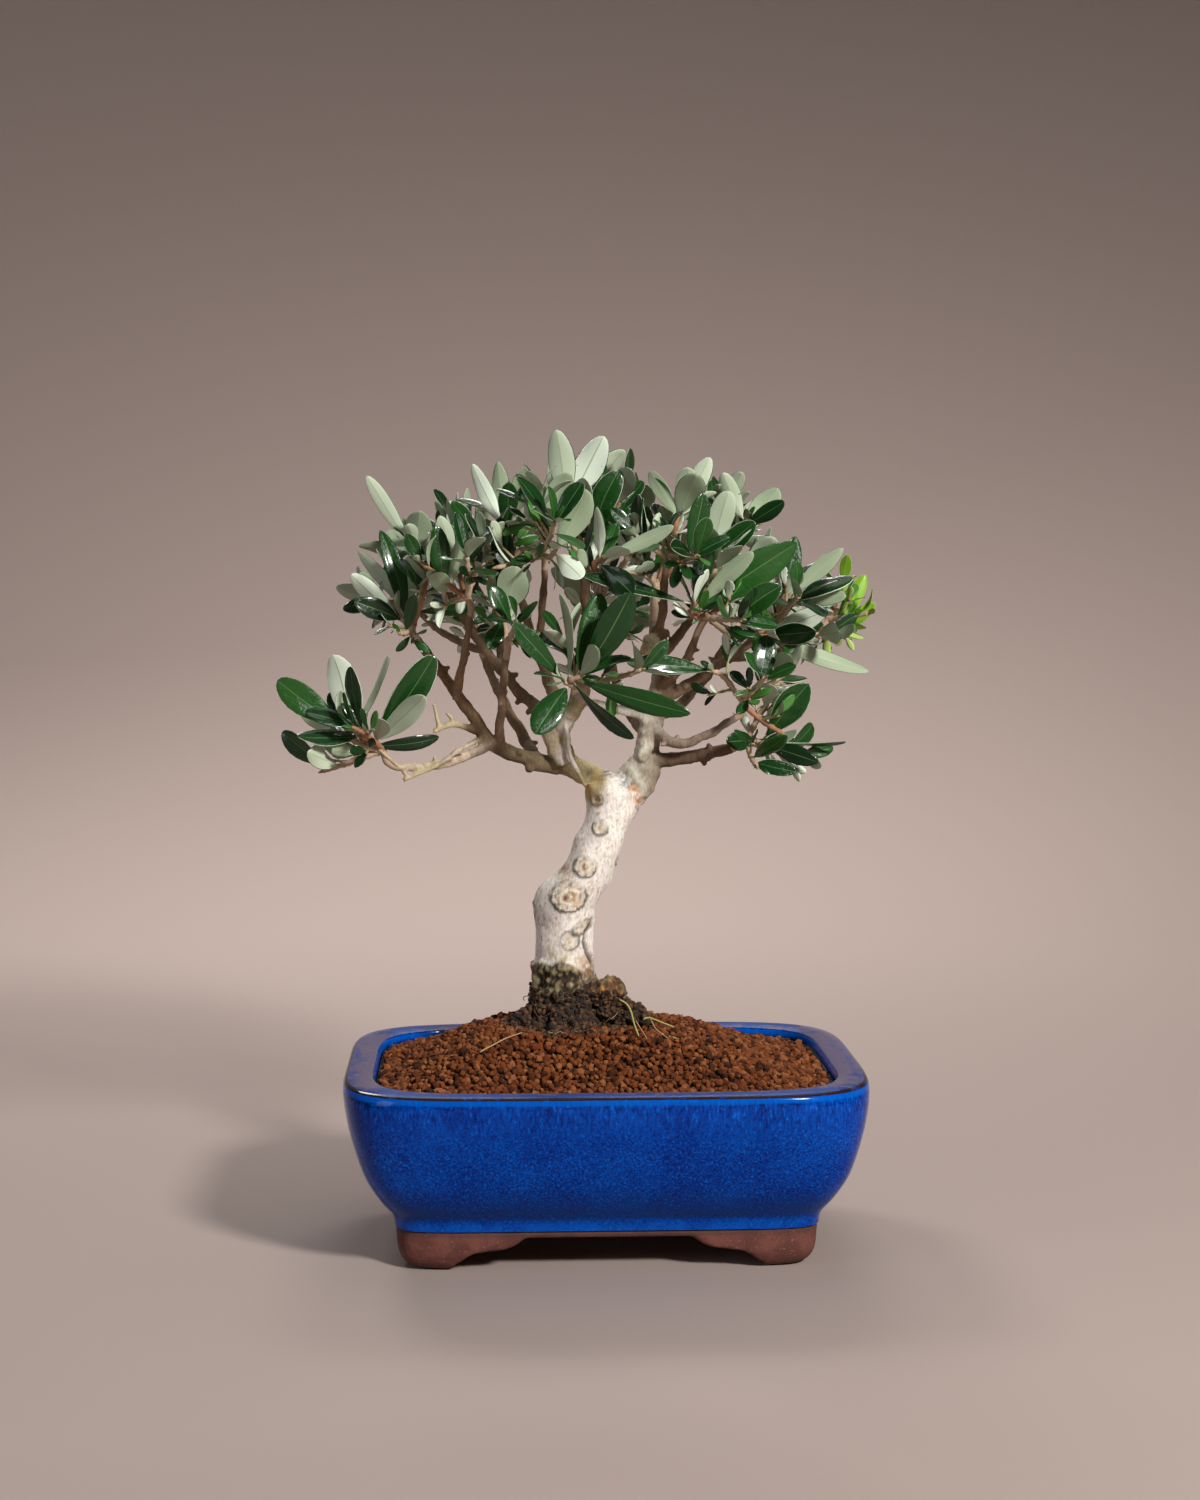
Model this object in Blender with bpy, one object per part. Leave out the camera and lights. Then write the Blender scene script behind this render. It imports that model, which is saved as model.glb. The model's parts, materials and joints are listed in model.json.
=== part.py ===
"""Olive bonsai in a glazed rectangular pot: pot, clay foot, soil, trunk, boughs and masses of foliage.

Sizes are in millimetres, from the middle of the pot's foot: +X right, +Y back, +Z up. They are
scaled to metres as each mesh is made, and the last step puts the frame's origin under the middle
of the whole plant. The tree grows by rule: each bough is a bowed, tapering limb to a named tip,
and each mass of leaves branches from one stem at its bough's tip by a rule seeded with its name.
"""

import math
import random
from collections import namedtuple

import bpy
import numpy as np
from mathutils import Vector
from mathutils.bvhtree import BVHTree

MM = 0.001
GAP = 0.3  # clear space between two neighbouring solids

# The pot
POT_HALF_WIDTH = 100.3
POT_HALF_DEPTH = 76.0
RIM_POWER = 5.0  # how square the outline is in plan: 2 is an ellipse
FOOT_POWER = 12.0
POT_SIDES = 32
POT_HEIGHT = 70.0
GLAZE_FOOT = 15.8  # height of the line where the glaze ends and bare clay begins
# Outer wall of the bowl, from the glaze line to the rim: (inset from the rim's outline, height)
BOWL_OUTSIDE = (
    (19.4, GLAZE_FOOT),
    (18.2, 20.4),
    (15.2, 24.0),
    (11.3, 29.8),
    (7.6, 36.8),
    (3.5, 49.0),
    (1.0, 59.0),
    (0.0, 66.0),
    (0.1, 69.0),
    (1.2, POT_HEIGHT),
)
# The rim's flat top, the lip under it and the inner wall down to the bowl's floor
BOWL_INSIDE = (
    (11.0, POT_HEIGHT),
    (12.0, 68.6),
    (12.0, 52.0),
    (16.0, 36.0),
    (22.5, 26.5),
    (30.0, 22.0),
)
# Outside of the bare clay foot, which curls under at the floor
CLAY_OUTSIDE = ((28.4, 0.0), (25.2, 0.6), (23.2, 1.9), (21.6, 4.4), (20.7, 8.0), (20.1, GLAZE_FOOT - GAP))
FOOT_POCKET = ((46.0, -1.0), (43.0, 13.4))  # the hollow under the pot, inside the four feet
# One side of the arch between two feet: (distance from the foot's outer side, height)
CLOUD_ARCH = (
    (21.0, 0.0),
    (23.5, 2.4),
    (26.0, 4.1),
    (28.4, 6.0),
    (30.8, 7.1),
    (34.0, 7.6),
    (39.5, 8.2),
    (43.1, 8.9),
    (46.2, 10.3),
    (48.2, 11.8),
    (50.2, 13.0),
)
SIDE_ARCH_SHARE = 0.85  # the arches in the short sides have feet this much shorter

# The soil
SOIL_AT_RIM = 67.4
GROUND = 84.5  # height of the mound where the trunk stands
TRUNK_FOOT = (-13.0, 0.0)
PLATEAU_SHARE = 0.3  # the level middle of the mound, as a share of the way to the wall
MOUND_RINGS = 4

# The trunk: (x, y, height, radius) up its middle
TRUNK_LINE = (
    (-13.0, 0.0, GROUND + GAP, 18.5),
    (-13.6, 0.0, 89.5, 15.6),
    (-14.4, 0.0, 95.5, 13.0),
    (-14.8, 0.0, 102.0, 12.0),
    (-14.9, 0.0, 110.0, 11.7),
    (-14.8, 0.0, 120.0, 11.4),
    (-13.7, -0.5, 131.5, 11.2),
    (-8.0, -1.5, 141.0, 9.2),
    (-2.3, -2.0, 152.0, 8.9),
    (1.5, -1.5, 163.0, 8.4),
    (3.5, 0.0, 171.5, 10.3),
    (3.7, 0.0, 177.0, 10.0),
    (4.0, 0.0, 181.0, 6.0),
)
TRUNK_SIDES = 12
TRUNK_RING_STEP = 5.0
ROOTS = 5  # root ridges that flare from the foot of the trunk
ROOT_RIDGE = 0.16  # how far they stand out, as a share of the radius
ROOT_HEIGHT = 16.0
# Healed pruning scars: (height, compass angle in degrees, radius, how far it stands out)
SCARS = (
    (104.0, -80.0, 6.0, 1.0),
    (118.0, -75.0, 5.2, 1.0),
    (130.5, 175.0, 5.0, 2.0),
    (132.0, -95.0, 6.2, 1.9),
    (144.0, -98.0, 4.8, 1.3),
    (145.0, 5.0, 3.6, 1.5),
    (154.0, 178.0, 5.0, 1.2),
    (160.0, -95.0, 4.0, 0.9),
    (169.0, -20.0, 4.6, 1.4),
    (136.0, 60.0, 5.5, 1.4),
    (155.0, 95.0, 4.6, 1.2),
)

# The limbs. Each starts on its parent at a share of the parent's length, ends at its tip, and
# bows away from the straight line by the vector bow at the middle.
Limb = namedtuple("Limb", "name parent share tip bow thick thin")
LIMBS = (
    Limb("left_fork", "trunk", 0.955, (-9.0, -18.0, 212.5), (-13.5, 3.0, -2.0), 5.2, 3.2),
    Limb("right_fork", "trunk", 0.94, (21.0, 3.0, 242.0), (8.5, 0.0, -4.0), 5.9, 2.9),
    Limb("left_arm", "left_fork", 0.31, (-46.5, -10.0, 197.0), (0.0, 0.0, -3.0), 3.9, 2.9),
    Limb("left_rise", "left_arm", 0.95, (-72.0, -7.0, 235.0), (1.5, 0.0, -1.0), 2.8, 1.7),
    Limb("low_left_arm", "left_arm", 0.9, (-78.0, -20.0, 186.5), (0.0, 0.0, -3.0), 2.1, 1.5),
    Limb("left_inner_limb", "left_arm", 0.8, (-37.5, -25.0, 229.0), (-1.0, -2.0, 0.0), 2.0, 1.4),
    Limb("left_front_limb", "left_rise", 0.45, (-51.0, -27.0, 245.0), (0.0, -3.0, -2.0), 1.9, 1.3),
    Limb("left_back_limb", "left_fork", 0.68, (-60.0, 14.0, 253.0), (0.0, 4.0, -6.0), 2.7, 1.6),
    Limb("left_crown_limb", "left_fork", 0.78, (-33.0, 8.0, 258.0), (-2.0, 4.0, 0.0), 2.6, 1.6),
    Limb("centre_rise", "left_fork", 0.88, (-8.0, 10.0, 266.0), (4.0, 6.0, 0.0), 2.9, 1.7),
    Limb("centre_front_limb", "centre_rise", 0.4, (-2.0, -24.0, 248.0), (0.0, -3.0, -3.0), 1.8, 1.3),
    Limb("right_arm", "right_fork", 0.21, (50.0, -11.0, 193.0), (0.0, 1.0, -1.5), 3.2, 2.1),
    Limb("right_curve", "right_fork", 0.42, (50.5, -18.0, 205.0), (-4.0, -4.0, -8.0), 2.4, 1.5),
    Limb("right_rise", "right_fork", 0.63, (35.0, -22.0, 237.0), (1.0, -3.0, -2.0), 2.1, 1.4),
    Limb("right_out_limb", "right_fork", 0.56, (63.0, -2.0, 237.5), (-2.0, 0.0, -3.0), 2.7, 1.6),
    Limb("right_far_limb", "right_out_limb", 0.66, (87.0, 6.0, 240.0), (0.0, 2.0, -4.0), 1.7, 1.1),
    Limb("right_top_limb", "right_fork", 0.8, (45.0, 10.0, 265.0), (1.0, 2.0, -3.0), 2.2, 1.5),
    Limb("front_right_limb", "right_fork", 0.9, (23.0, -22.0, 261.0), (0.0, -4.0, -2.0), 1.9, 1.4),
    Limb("front_left_limb", "left_crown_limb", 0.5, (-23.0, -24.0, 262.0), (0.0, -3.0, -2.0), 1.8, 1.3),
    Limb("back_left_limb", "left_arm", 0.4, (-46.0, 36.0, 226.0), (2.0, 3.0, -6.0), 2.7, 1.6),
    Limb("back_centre_limb", "right_fork", 0.36, (3.0, 43.0, 232.0), (0.0, 2.0, -6.0), 2.6, 1.6),
    Limb("back_right_limb", "right_fork", 0.48, (51.0, 36.0, 230.0), (0.0, 3.0, -6.0), 2.5, 1.6),
    Limb("back_left_top_limb", "left_back_limb", 0.5, (-39.0, 38.0, 260.0), (0.0, 3.0, -2.0), 1.9, 1.3),
    Limb("back_top_limb", "centre_rise", 0.62, (4.0, 36.0, 266.0), (0.0, 3.0, -3.0), 1.9, 1.4),
    Limb("back_right_top_limb", "right_top_limb", 0.45, (43.0, 38.0, 260.0), (0.0, 3.0, -3.0), 1.8, 1.3),
    Limb("far_left_back_limb", "left_back_limb", 0.62, (-75.0, 32.0, 247.0), (0.0, 3.0, -3.0), 1.8, 1.2),
)
LIMB_SEGMENTS = 4
LIMB_SIDES = 6
NEAR = 1.0  # a limb is cut clear of any limb before it that comes nearer than this

# The masses of foliage. Each grows from its limb's tip and keeps within the ellipsoid of its reach
# about its centre, clear of every limb and of what the masses before it have filled.
Mass = namedtuple("Mass", "name limb centre reach shoots leaf")
MASSES = (
    Mass("low_left_spray", "low_left_arm", (-96.0, -22.0, 209.0), (30.0, 26.0, 27.0), 3, 26.0),
    Mass("left_pad", "left_rise", (-75.0, -10.0, 249.0), (23.0, 26.0, 26.0), 3, 22.0),
    Mass("left_front", "left_front_limb", (-55.0, -36.0, 262.0), (26.0, 25.0, 25.0), 4, 23.0),
    Mass("left_inner", "left_inner_limb", (-37.0, -34.0, 244.0), (24.0, 24.0, 22.0), 2, 20.0),
    Mass("centre_low", "left_fork", (-9.0, -38.0, 226.0), (35.0, 28.0, 28.0), 2, 27.0),
    Mass("centre_front", "centre_front_limb", (3.0, -42.0, 268.0), (27.0, 24.0, 24.0), 3, 23.0),
    Mass("right_centre", "right_rise", (44.0, -36.0, 256.0), (32.0, 26.0, 26.0), 3, 26.0),
    Mass("right_mid_low", "right_curve", (57.0, -18.0, 221.0), (26.0, 25.0, 21.0), 3, 23.0),
    Mass("right_low", "right_arm", (65.0, -18.0, 202.0), (31.0, 25.0, 24.0), 3, 24.0),
    Mass("right_pad", "right_out_limb", (75.0, -14.0, 249.0), (29.0, 27.0, 26.0), 3, 24.0),
    Mass("right_tip", "right_far_limb", (93.0, 7.0, 247.0), (17.0, 24.0, 22.0), 3, 19.0),
    Mass("top_centre", "centre_rise", (-9.0, 0.0, 291.0), (27.0, 27.0, 27.0), 4, 27.0),
    Mass("front_left_top", "front_left_limb", (-26.0, -36.0, 277.0), (27.0, 25.0, 26.0), 4, 24.0),
    Mass("top_left", "left_crown_limb", (-39.0, 6.0, 283.0), (27.0, 26.0, 26.0), 4, 24.0),
    Mass("left_top_pad", "left_back_limb", (-71.0, 8.0, 272.0), (27.0, 27.0, 27.0), 4, 24.0),
    Mass("top_right_centre", "right_fork", (24.0, 2.0, 283.0), (27.0, 27.0, 27.0), 4, 24.0),
    Mass("front_right_top", "front_right_limb", (25.0, -36.0, 278.0), (26.0, 25.0, 25.0), 3, 24.0),
    Mass("right_top", "right_top_limb", (56.0, 4.0, 277.0), (28.0, 28.0, 27.0), 3, 22.0),
    Mass("back_left", "back_left_limb", (-51.0, 46.0, 244.0), (29.0, 27.0, 26.0), 4, 25.0),
    Mass("back_centre", "back_centre_limb", (1.0, 52.0, 249.0), (29.0, 26.0, 27.0), 4, 26.0),
    Mass("back_right", "back_right_limb", (57.0, 46.0, 245.0), (29.0, 27.0, 26.0), 4, 25.0),
    Mass("back_left_top", "back_left_top_limb", (-39.0, 42.0, 274.0), (27.0, 26.0, 25.0), 4, 25.0),
    Mass("back_top", "back_top_limb", (4.0, 42.0, 282.0), (27.0, 26.0, 26.0), 4, 26.0),
    Mass("back_right_top", "back_right_top_limb", (47.0, 42.0, 273.0), (27.0, 26.0, 25.0), 4, 25.0),
    Mass("far_left_back", "far_left_back_limb", (-81.0, 34.0, 256.0), (25.0, 25.0, 24.0), 3, 23.0),
)
# Leading leaves, those that stand out in the crown seen from the front. Each rosette lists its
# foot and its leaves: (length, clock, lean, width, roll). Clock is the leaf's direction in the
# front view, from 0 to the right by 90 up; lean is towards the front; roll turns the blade about
# its midrib, from TOP, its upper side to the front, to UNDER.
TOP, UNDER = 12.0, 168.0
LEADING = (
    (
        "low_left_spray",
        (-98, -27, 202),
        ((32, 144, 5, 11.5, TOP), (30, 101, -10, 12.5, UNDER), (34, 65, 7, 8, 110)),
    ),
    ("low_left_spray", (-93, -26, 199), ((27, 179, 30, 8, 40), (34, 114, -24, 8, UNDER))),
    (
        "low_left_spray",
        (-87, -24, 197),
        ((41, 55, 15, 12.5, TOP), (33, 43, 33, 9.5, UNDER), (26, 6, -8, 6, TOP)),
    ),
    (
        "left_pad",
        (-78, -10, 243),
        ((26, 137, 9, 8, UNDER), (23, 157, 30, 9, TOP), (37, 105, -3, 8, TOP)),
    ),
    (
        "left_pad",
        (-73, -6, 247),
        ((34, 108, -19, 12, UNDER), (26, 6, 27, 6, 30), (36, 132, -22, 6, UNDER)),
    ),
    ("left_top_pad", (-73, 4, 269), ((35, 122, -7, 6.5, UNDER), (19, 83, 27, 11, UNDER))),
    (
        "left_front",
        (-61, -32, 254),
        ((25, 96, 9, 8, TOP), (24, 71, 15, 6.5, UNDER), (15, 110, 50, 8, UNDER)),
    ),
    (
        "left_inner",
        (-39, -32, 246),
        ((19, 73, 20, 13.5, UNDER), (37, 92, -6, 9, TOP), (15, -116, 30, 7, TOP)),
    ),
    (
        "centre_low",
        (-16, -38, 220),
        ((32, 132, 18, 8, TOP), (34, 95, 10, 8, 115), (25, -126, 26, 11.5, TOP)),
    ),
    (
        "centre_low",
        (-10, -40, 222),
        ((38, 60, 13, 13, TOP), (33, 74, -8, 11, TOP), (46, -16, 15, 9, TOP), (34, -43, 26, 7, 45)),
    ),
    (
        "centre_front",
        (-2, -40, 266),
        ((30, 24, 12, 6, UNDER), (20, 95, 7, 7, 130), (20, -42, 28, 10, TOP)),
    ),
    (
        "right_centre",
        (33, -32, 249),
        ((44, 165, 10, 8, 45), (29, 79, 8, 8, TOP), (33, 46, 24, 7, UNDER), (47, 34, 6, 14.5, TOP)),
    ),
    ("right_mid_low", (41, -24, 223), ((36, 173, 16, 8, TOP),)),
    (
        "right_low",
        (62, -14, 196),
        ((29, 54, 16, 12.5, TOP), (33, -1, 7, 7, 80)),
    ),
    ("right_low", (60, -15, 195), ((25, -18, 24, 7.5, TOP), (17, 178, 42, 8, TOP))),
    ("right_pad", (71, -12, 252), ((28, 41, 8, 7, UNDER), (25, 2, 28, 8, UNDER), (25, 80, -5, 8, TOP))),
    (
        "right_pad",
        (63, -16, 236),
        ((25, 25, 23, 9, UNDER), (26, 8, 46, 9, TOP), (44, -19, -3, 7, UNDER)),
    ),
    ("right_tip", (93, 6, 238), ((17, 65, 7, 6, TOP), (20, 38, 18, 6, TOP), (27, 60, -4, 7, UNDER))),
    (
        "top_centre",
        (-14, -6, 287),
        ((29, 98, 8, 11, UNDER), (31, 62, 0, 13, UNDER), (23, 50, 55, 11, UNDER)),
    ),
    (
        "front_left_top",
        (-19, -36, 269),
        ((26, 63, 14, 11.5, UNDER), (17, -43, 36, 9, UNDER), (25, 118, 4, 8, 60)),
    ),
    (
        "top_left",
        (-38, 0, 278),
        ((28, 116, -8, 7, UNDER), (23, 86, 34, 8, TOP), (29, 96, -11, 8, UNDER)),
    ),
    (
        "top_right_centre",
        (30, 0, 284),
        ((19, 80, 20, 8.5, UNDER), (26, 62, -4, 8, UNDER), (22, 122, 11, 6.5, UNDER)),
    ),
    ("right_top", (42, -8, 266), ((27, 77, 9, 10, UNDER), (24, 43, 25, 9, TOP))),
    (
        "right_top",
        (56, 0, 280),
        ((22, 116, 12, 8, UNDER), (20, 33, 30, 7, TOP), (21, 48, -4, 11, UNDER)),
    ),
)
LEAD_NUDGE = 1.6  # degrees that each further try may turn a leading leaf
# The rule for rosettes and for the pairs of leaves on their shoots
GOLDEN_ANGLE = 2.39996
ROSETTE_POLAR = (0.1, 1.45)  # a rosette's angle off the mass's axis, in radians
ROSETTE_TURN = 1.2  # how far it may stray from its turn round the axis
ROSETTE_DISTANCE = (0.12, 0.55)  # its distance from the hub, as a share of the mass's reach
LEAF_TURN = 0.4  # how far a leaf may stray from its turn round the shoot
LEAF_SPREADS = (78.0, 32.0)  # degrees off the shoot, at its foot and at its tip
SPREAD_VARIES = 12.0
LEAF_RISE = 0.12
LEAF_SIZES = (1.12, 0.78)  # shares of the mass's leaf length, at the shoot's foot and at its tip
LENGTH_VARIES = (0.72, 1.08)
WIDTH_SHARES = (0.33, 0.46)  # width as a share of length
FACE_ALONG_SHOOT = 0.9  # a leaf's upper side turns to the shoot's tip
FACE_UP = 0.45  # and to the sky
FACE_VARIES = 0.3
LEAF_CLEARANCE = 0.4
SHOOT_CLEARANCE = 0.6
NODES_PER_SHOOT = 3  # pairs of leaves on a shoot
NODE_STEP = 2.8
TRIES = 7
CANDIDATES = 7
STEM_ROOT_SHARE = 0.95  # the stem's radius where it meets its limb's tip, as a share of the tip's
STEM_RADIUS = 1.44  # at the hub
FORK_FROM = 0.7  # twigs leave the stem from this share of its length on
TWIG_ROOT_RADIUS = 1.26
TWIG_RADIUS = 1.15
SHOOT_RADIUS = 0.95
STALK_START = 0.15  # a leaf starts this far out from its shoot's middle, sunk in the shoot
STALK_HALF = 0.45
LEAF_BELOW = 0.25
LEAF_ABOVE = 0.6
PLAIN_WIDTHS = ((0.55, 0.97),)  # (share of the length, share of the width) along a leaf's side
FINE_WIDTHS = ((0.42, 0.96), (0.76, 0.86))
FINE_FROM = 9.0  # leading leaves this wide have two widths along each side
LEAD_FIRST = 0.6  # how far below the shoot's tip its first leading leaf starts
LEAD_STEP = 1.2  # how far apart a rosette's leading leaves start
LEAD_SHOOT = 5.0  # length of the shoot that carries leading leaves
HUB_SHARES = (0.38, 0.3, 0.46, 0.24, 0.55)  # how far the stem goes towards the mass's middle
BLADE_FROM = 0.15  # leaves of one mass keep apart from this share of their length on
CROWN_HEART = (-1.0, 2.0, 222.0)  # the crown grows outwards from here
Twig = namedtuple("Twig", "line radii")
Leaf = namedtuple("Leaf", "base along face length width fine")
Solid = namedtuple("Solid", "owner centre reach tree")


def unit(vector):
    return vector / max(float(np.linalg.norm(vector)), 1e-9)


def across(axis, hint=(0.0, 0.0, 1.0)):
    """Two unit vectors across an axis, right-handed with it."""
    side = np.cross(hint, axis)
    if np.linalg.norm(side) < 0.2:
        side = np.cross((0.0, 1.0, 0.0), axis)
    side = unit(side)
    return side, np.cross(axis, side)


def bowed_line(start, end, bow, count):
    """Points of a parabola from start to end that passes bow away from the chord's middle."""
    start, end, bow = (np.array(v, float) for v in (start, end, bow))
    shares = np.linspace(0.0, 1.0, count + 1)[:, None]
    return start + shares * (end - start) + 4.0 * shares * (1.0 - shares) * bow


def leading_line(start, heading, end, count, straight=1.0):
    """A curve that leaves start squarely along the heading and bends over to the end."""
    lead = start + heading * straight
    knee = lead + heading * 0.4 * np.linalg.norm(end - lead)
    shares = np.linspace(0.0, 1.0, count + 1)[:, None]
    curve = (1 - shares) ** 2 * lead + 2 * shares * (1 - shares) * knee + shares**2 * end
    return np.vstack([start, curve])


def point_at(line, share):
    """The point at a share of a polyline's length."""
    steps = np.linalg.norm(np.diff(line, axis=0), axis=1)
    reached = np.concatenate([[0.0], np.cumsum(steps)])
    return np.array([np.interp(share * reached[-1], reached, line[:, k]) for k in range(3)])


def smooth_rows(rows, step):
    """Rows of numbers read from a Catmull-Rom curve through the given rows, about step apart."""
    rows = np.array(rows, float)
    padded = np.vstack([2 * rows[0] - rows[1], rows, 2 * rows[-1] - rows[-2]])
    made = []
    for k in range(1, len(padded) - 2):
        a, b, c, d = padded[k - 1 : k + 3]
        count = max(1, round(float(np.linalg.norm((c - b)[:3])) / step))
        for share in np.arange(count) / count:
            slope = (c - a) * share
            bend = (2 * a - 5 * b + 4 * c - d) * share**2
            twist = (3 * b - a - 3 * c + d) * share**3
            made.append(0.5 * (2 * b + slope + bend + twist))
    made.append(rows[-1])
    return np.array(made)


def outline(half_width, half_depth, power, count=POT_SIDES):
    """A rounded rectangle in plan, counterclockwise, as a superellipse."""
    turns = (np.arange(count) + 0.5) / count * math.tau
    c, s = np.cos(turns), np.sin(turns)
    x = half_width * np.sign(c) * abs(c) ** (2 / power)
    y = half_depth * np.sign(s) * abs(s) ** (2 / power)
    return np.column_stack([x, y])


def pot_ring(inset, height):
    """The pot's outline at a height, set in from the rim's."""
    share = min(max(height / POT_HEIGHT, 0.0), 1.0)
    power = FOOT_POWER + (RIM_POWER - FOOT_POWER) * share
    flat = outline(POT_HALF_WIDTH - inset, POT_HALF_DEPTH - inset, power)
    return np.column_stack([flat, np.full(len(flat), height)])


def loft(rings):
    """Vertices and faces of a closed skin over rings of equal count, with a flat cap at each end."""
    count = len(rings[0])
    vertices = [tuple(p) for ring in rings for p in ring]
    faces = [tuple(range(count))[::-1]]
    for k in range(len(rings) - 1):
        for i in range(count):
            j = (i + 1) % count
            faces.append((k * count + i, k * count + j, (k + 1) * count + j, (k + 1) * count + i))
    last = (len(rings) - 1) * count
    faces.append(tuple(range(last, last + count)))
    return vertices, faces


def tube_rings(line, radii, sides, grown=0.0):
    """Rings round a line, each across the direction the line takes there, grown by a clearance."""
    line = np.array(line, float)
    line[0] -= grown * unit(line[1] - line[0])
    line[-1] += grown * unit(line[-1] - line[-2])
    radii = np.array(radii) + grown
    headings = [unit(v) for v in np.gradient(line, axis=0)]
    side, up = across(headings[0])
    rings = []
    for point, heading, radius in zip(line, headings, radii):
        side = unit(side - heading * side.dot(heading))
        up = np.cross(heading, side)
        turns = np.arange(sides) / sides * math.tau
        rings.append(point + radius * (np.outer(np.cos(turns), side) + np.outer(np.sin(turns), up)))
    return rings


def add_object(name, vertices, faces, finish=None):
    mesh = bpy.data.meshes.new(name)
    mesh.from_pydata([tuple(np.array(v) * MM) for v in vertices], [], faces)
    if finish:
        mesh.materials.append(finish)
    obj = bpy.data.objects.new(name, mesh)
    bpy.context.scene.collection.objects.link(obj)
    return obj


def add_helper(name, vertices, faces):
    """A cutter: it shapes another object and isn't a part."""
    obj = add_object(name, vertices, faces)
    obj.hide_render = True
    obj.display_type = "WIRE"
    return obj


def apply_modifiers(obj):
    graph = bpy.context.evaluated_depsgraph_get()
    made = bpy.data.meshes.new_from_object(obj.evaluated_get(graph))
    obj.modifiers.clear()
    obj.data = made


def cut(obj, cutter):
    modifier = obj.modifiers.new("cut", "BOOLEAN")
    modifier.operation = "DIFFERENCE"
    modifier.solver = "EXACT"
    modifier.object = cutter


def shade_round(obj, angle=35.0):
    obj.data.shade_smooth()
    obj.data.set_sharp_from_angle(angle=math.radians(angle))


def material(name, colour, roughness, coat=0.0):
    made = bpy.data.materials.new(name)
    made.use_nodes = True
    shader = made.node_tree.nodes["Principled BSDF"]
    shader.inputs["Base Color"].default_value = (*colour, 1.0)
    shader.inputs["Roughness"].default_value = roughness
    shader.inputs["Metallic"].default_value = 0.0
    shader.inputs["Coat Weight"].default_value = coat
    made.diffuse_color = (*colour, 1.0)
    return made


def make_bowl(glaze):
    rings = [pot_ring(*p) for p in BOWL_OUTSIDE + BOWL_INSIDE]
    shade_round(add_object("pot_bowl", *loft(rings), glaze))


def arch_cutter(name, half_length, share, along_x):
    """A bar with the arch's outline that runs through the foot, between two corner feet."""
    near = [(half_length - distance * share, height) for distance, height in CLOUD_ARCH]
    below = (near[0][0] + 2.0, -2.0)
    profile = [below, *near]
    profile += [(-u, z) for u, z in reversed(profile)]
    reach = POT_HALF_WIDTH
    ends = [[(-reach, u, z) if along_x else (u, reach, z) for u, z in profile]]
    ends.append([(reach, u, z) if along_x else (u, -reach, z) for u, z in profile])
    return add_helper(name, *loft([np.array(ring) for ring in ends]))


def make_clay_foot(clay):
    """The unglazed foot: a thin base with a cloud-shaped foot round each corner."""
    foot = add_object("pot_foot", *loft([pot_ring(*p) for p in CLAY_OUTSIDE]), clay)
    pocket = add_helper("foot_pocket", *loft([pot_ring(*p) for p in FOOT_POCKET]))
    inset = BOWL_OUTSIDE[0][0]
    front = arch_cutter("front_arch", POT_HALF_WIDTH - inset, 1.0, along_x=False)
    side = arch_cutter("side_arch", POT_HALF_DEPTH - inset, SIDE_ARCH_SHARE, along_x=True)
    for cutter in (pocket, front, side):
        cut(foot, cutter)
    shade_round(foot)


def mound_height(share):
    """Height of the soil at a share of the way from the trunk to the pot's wall."""
    slope = min(max((share - PLATEAU_SHARE) / (1.0 - PLATEAU_SHARE), 0.0), 1.0)
    return GROUND - (GROUND - SOIL_AT_RIM) * slope * slope * (3.0 - 2.0 * slope)


def make_soil(earth):
    """Soil that fills the bowl up to the rim and heaps up round the trunk."""
    floor, lip = BOWL_INSIDE[-1], BOWL_INSIDE[2]
    rings = [pot_ring(floor[0] + 2 * GAP, floor[1] + GAP)]
    rings += [pot_ring(inset + 2 * GAP, height) for inset, height in BOWL_INSIDE[-2:1:-1]]
    edge = pot_ring(lip[0] + 2 * GAP, SOIL_AT_RIM)
    middle = np.array([*TRUNK_FOOT, 0.0])
    for share in np.linspace(1.0, PLATEAU_SHARE, MOUND_RINGS):
        ring = middle + share * (edge - middle)
        ring[:, 2] = mound_height(share)
        rings.append(ring)
    shade_round(add_object("soil", *loft(rings), earth))


def trunk_rings(grown=0.0):
    """Rings up the trunk with its root ridges and scars, grown outwards by a clearance."""
    rows = smooth_rows(TRUNK_LINE, TRUNK_RING_STEP)
    rings = tube_rings(rows[:, :3], rows[:, 3], TRUNK_SIDES)
    for row, ring in zip(rows, rings):
        middle, radius = row[:3], row[3]
        low = max(0.0, 1.0 - (row[2] - GROUND) / ROOT_HEIGHT)
        for k, point in enumerate(ring):
            out = unit(point - middle)
            turn = math.atan2(out[1], out[0])
            reach = radius * (1.0 + ROOT_RIDGE * low * math.cos(ROOTS * turn + 0.6)) + grown
            for height, compass, size, stands in SCARS:
                angle = math.radians(compass)
                centre = np.array([math.cos(angle), math.sin(angle), 0.0])
                apart = np.linalg.norm([radius * np.linalg.norm(out[:2] - centre[:2]), row[2] - height])
                reach += stands * math.exp(-((apart / size) ** 2))
            ring[k] = middle + out * reach
    rings[0][:, 2] = GROUND + GAP - grown
    rings[-1] += grown * unit(rows[-1, :3] - rows[-2, :3])
    return rings


def make_trunk(bark):
    shade_round(add_object("trunk", *loft(trunk_rings()), bark), 50.0)


def limb_lines():
    """{name: (line, radii)} of the trunk and each limb."""
    rows = smooth_rows(TRUNK_LINE, TRUNK_RING_STEP)
    found = {"trunk": (rows[:, :3], rows[:, 3])}
    for limb in LIMBS:
        start = point_at(found[limb.parent][0], limb.share)
        line = bowed_line(start, limb.tip, limb.bow, LIMB_SEGMENTS)
        found[limb.name] = (line, np.linspace(limb.thick, limb.thin, len(line)))
    return found


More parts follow.
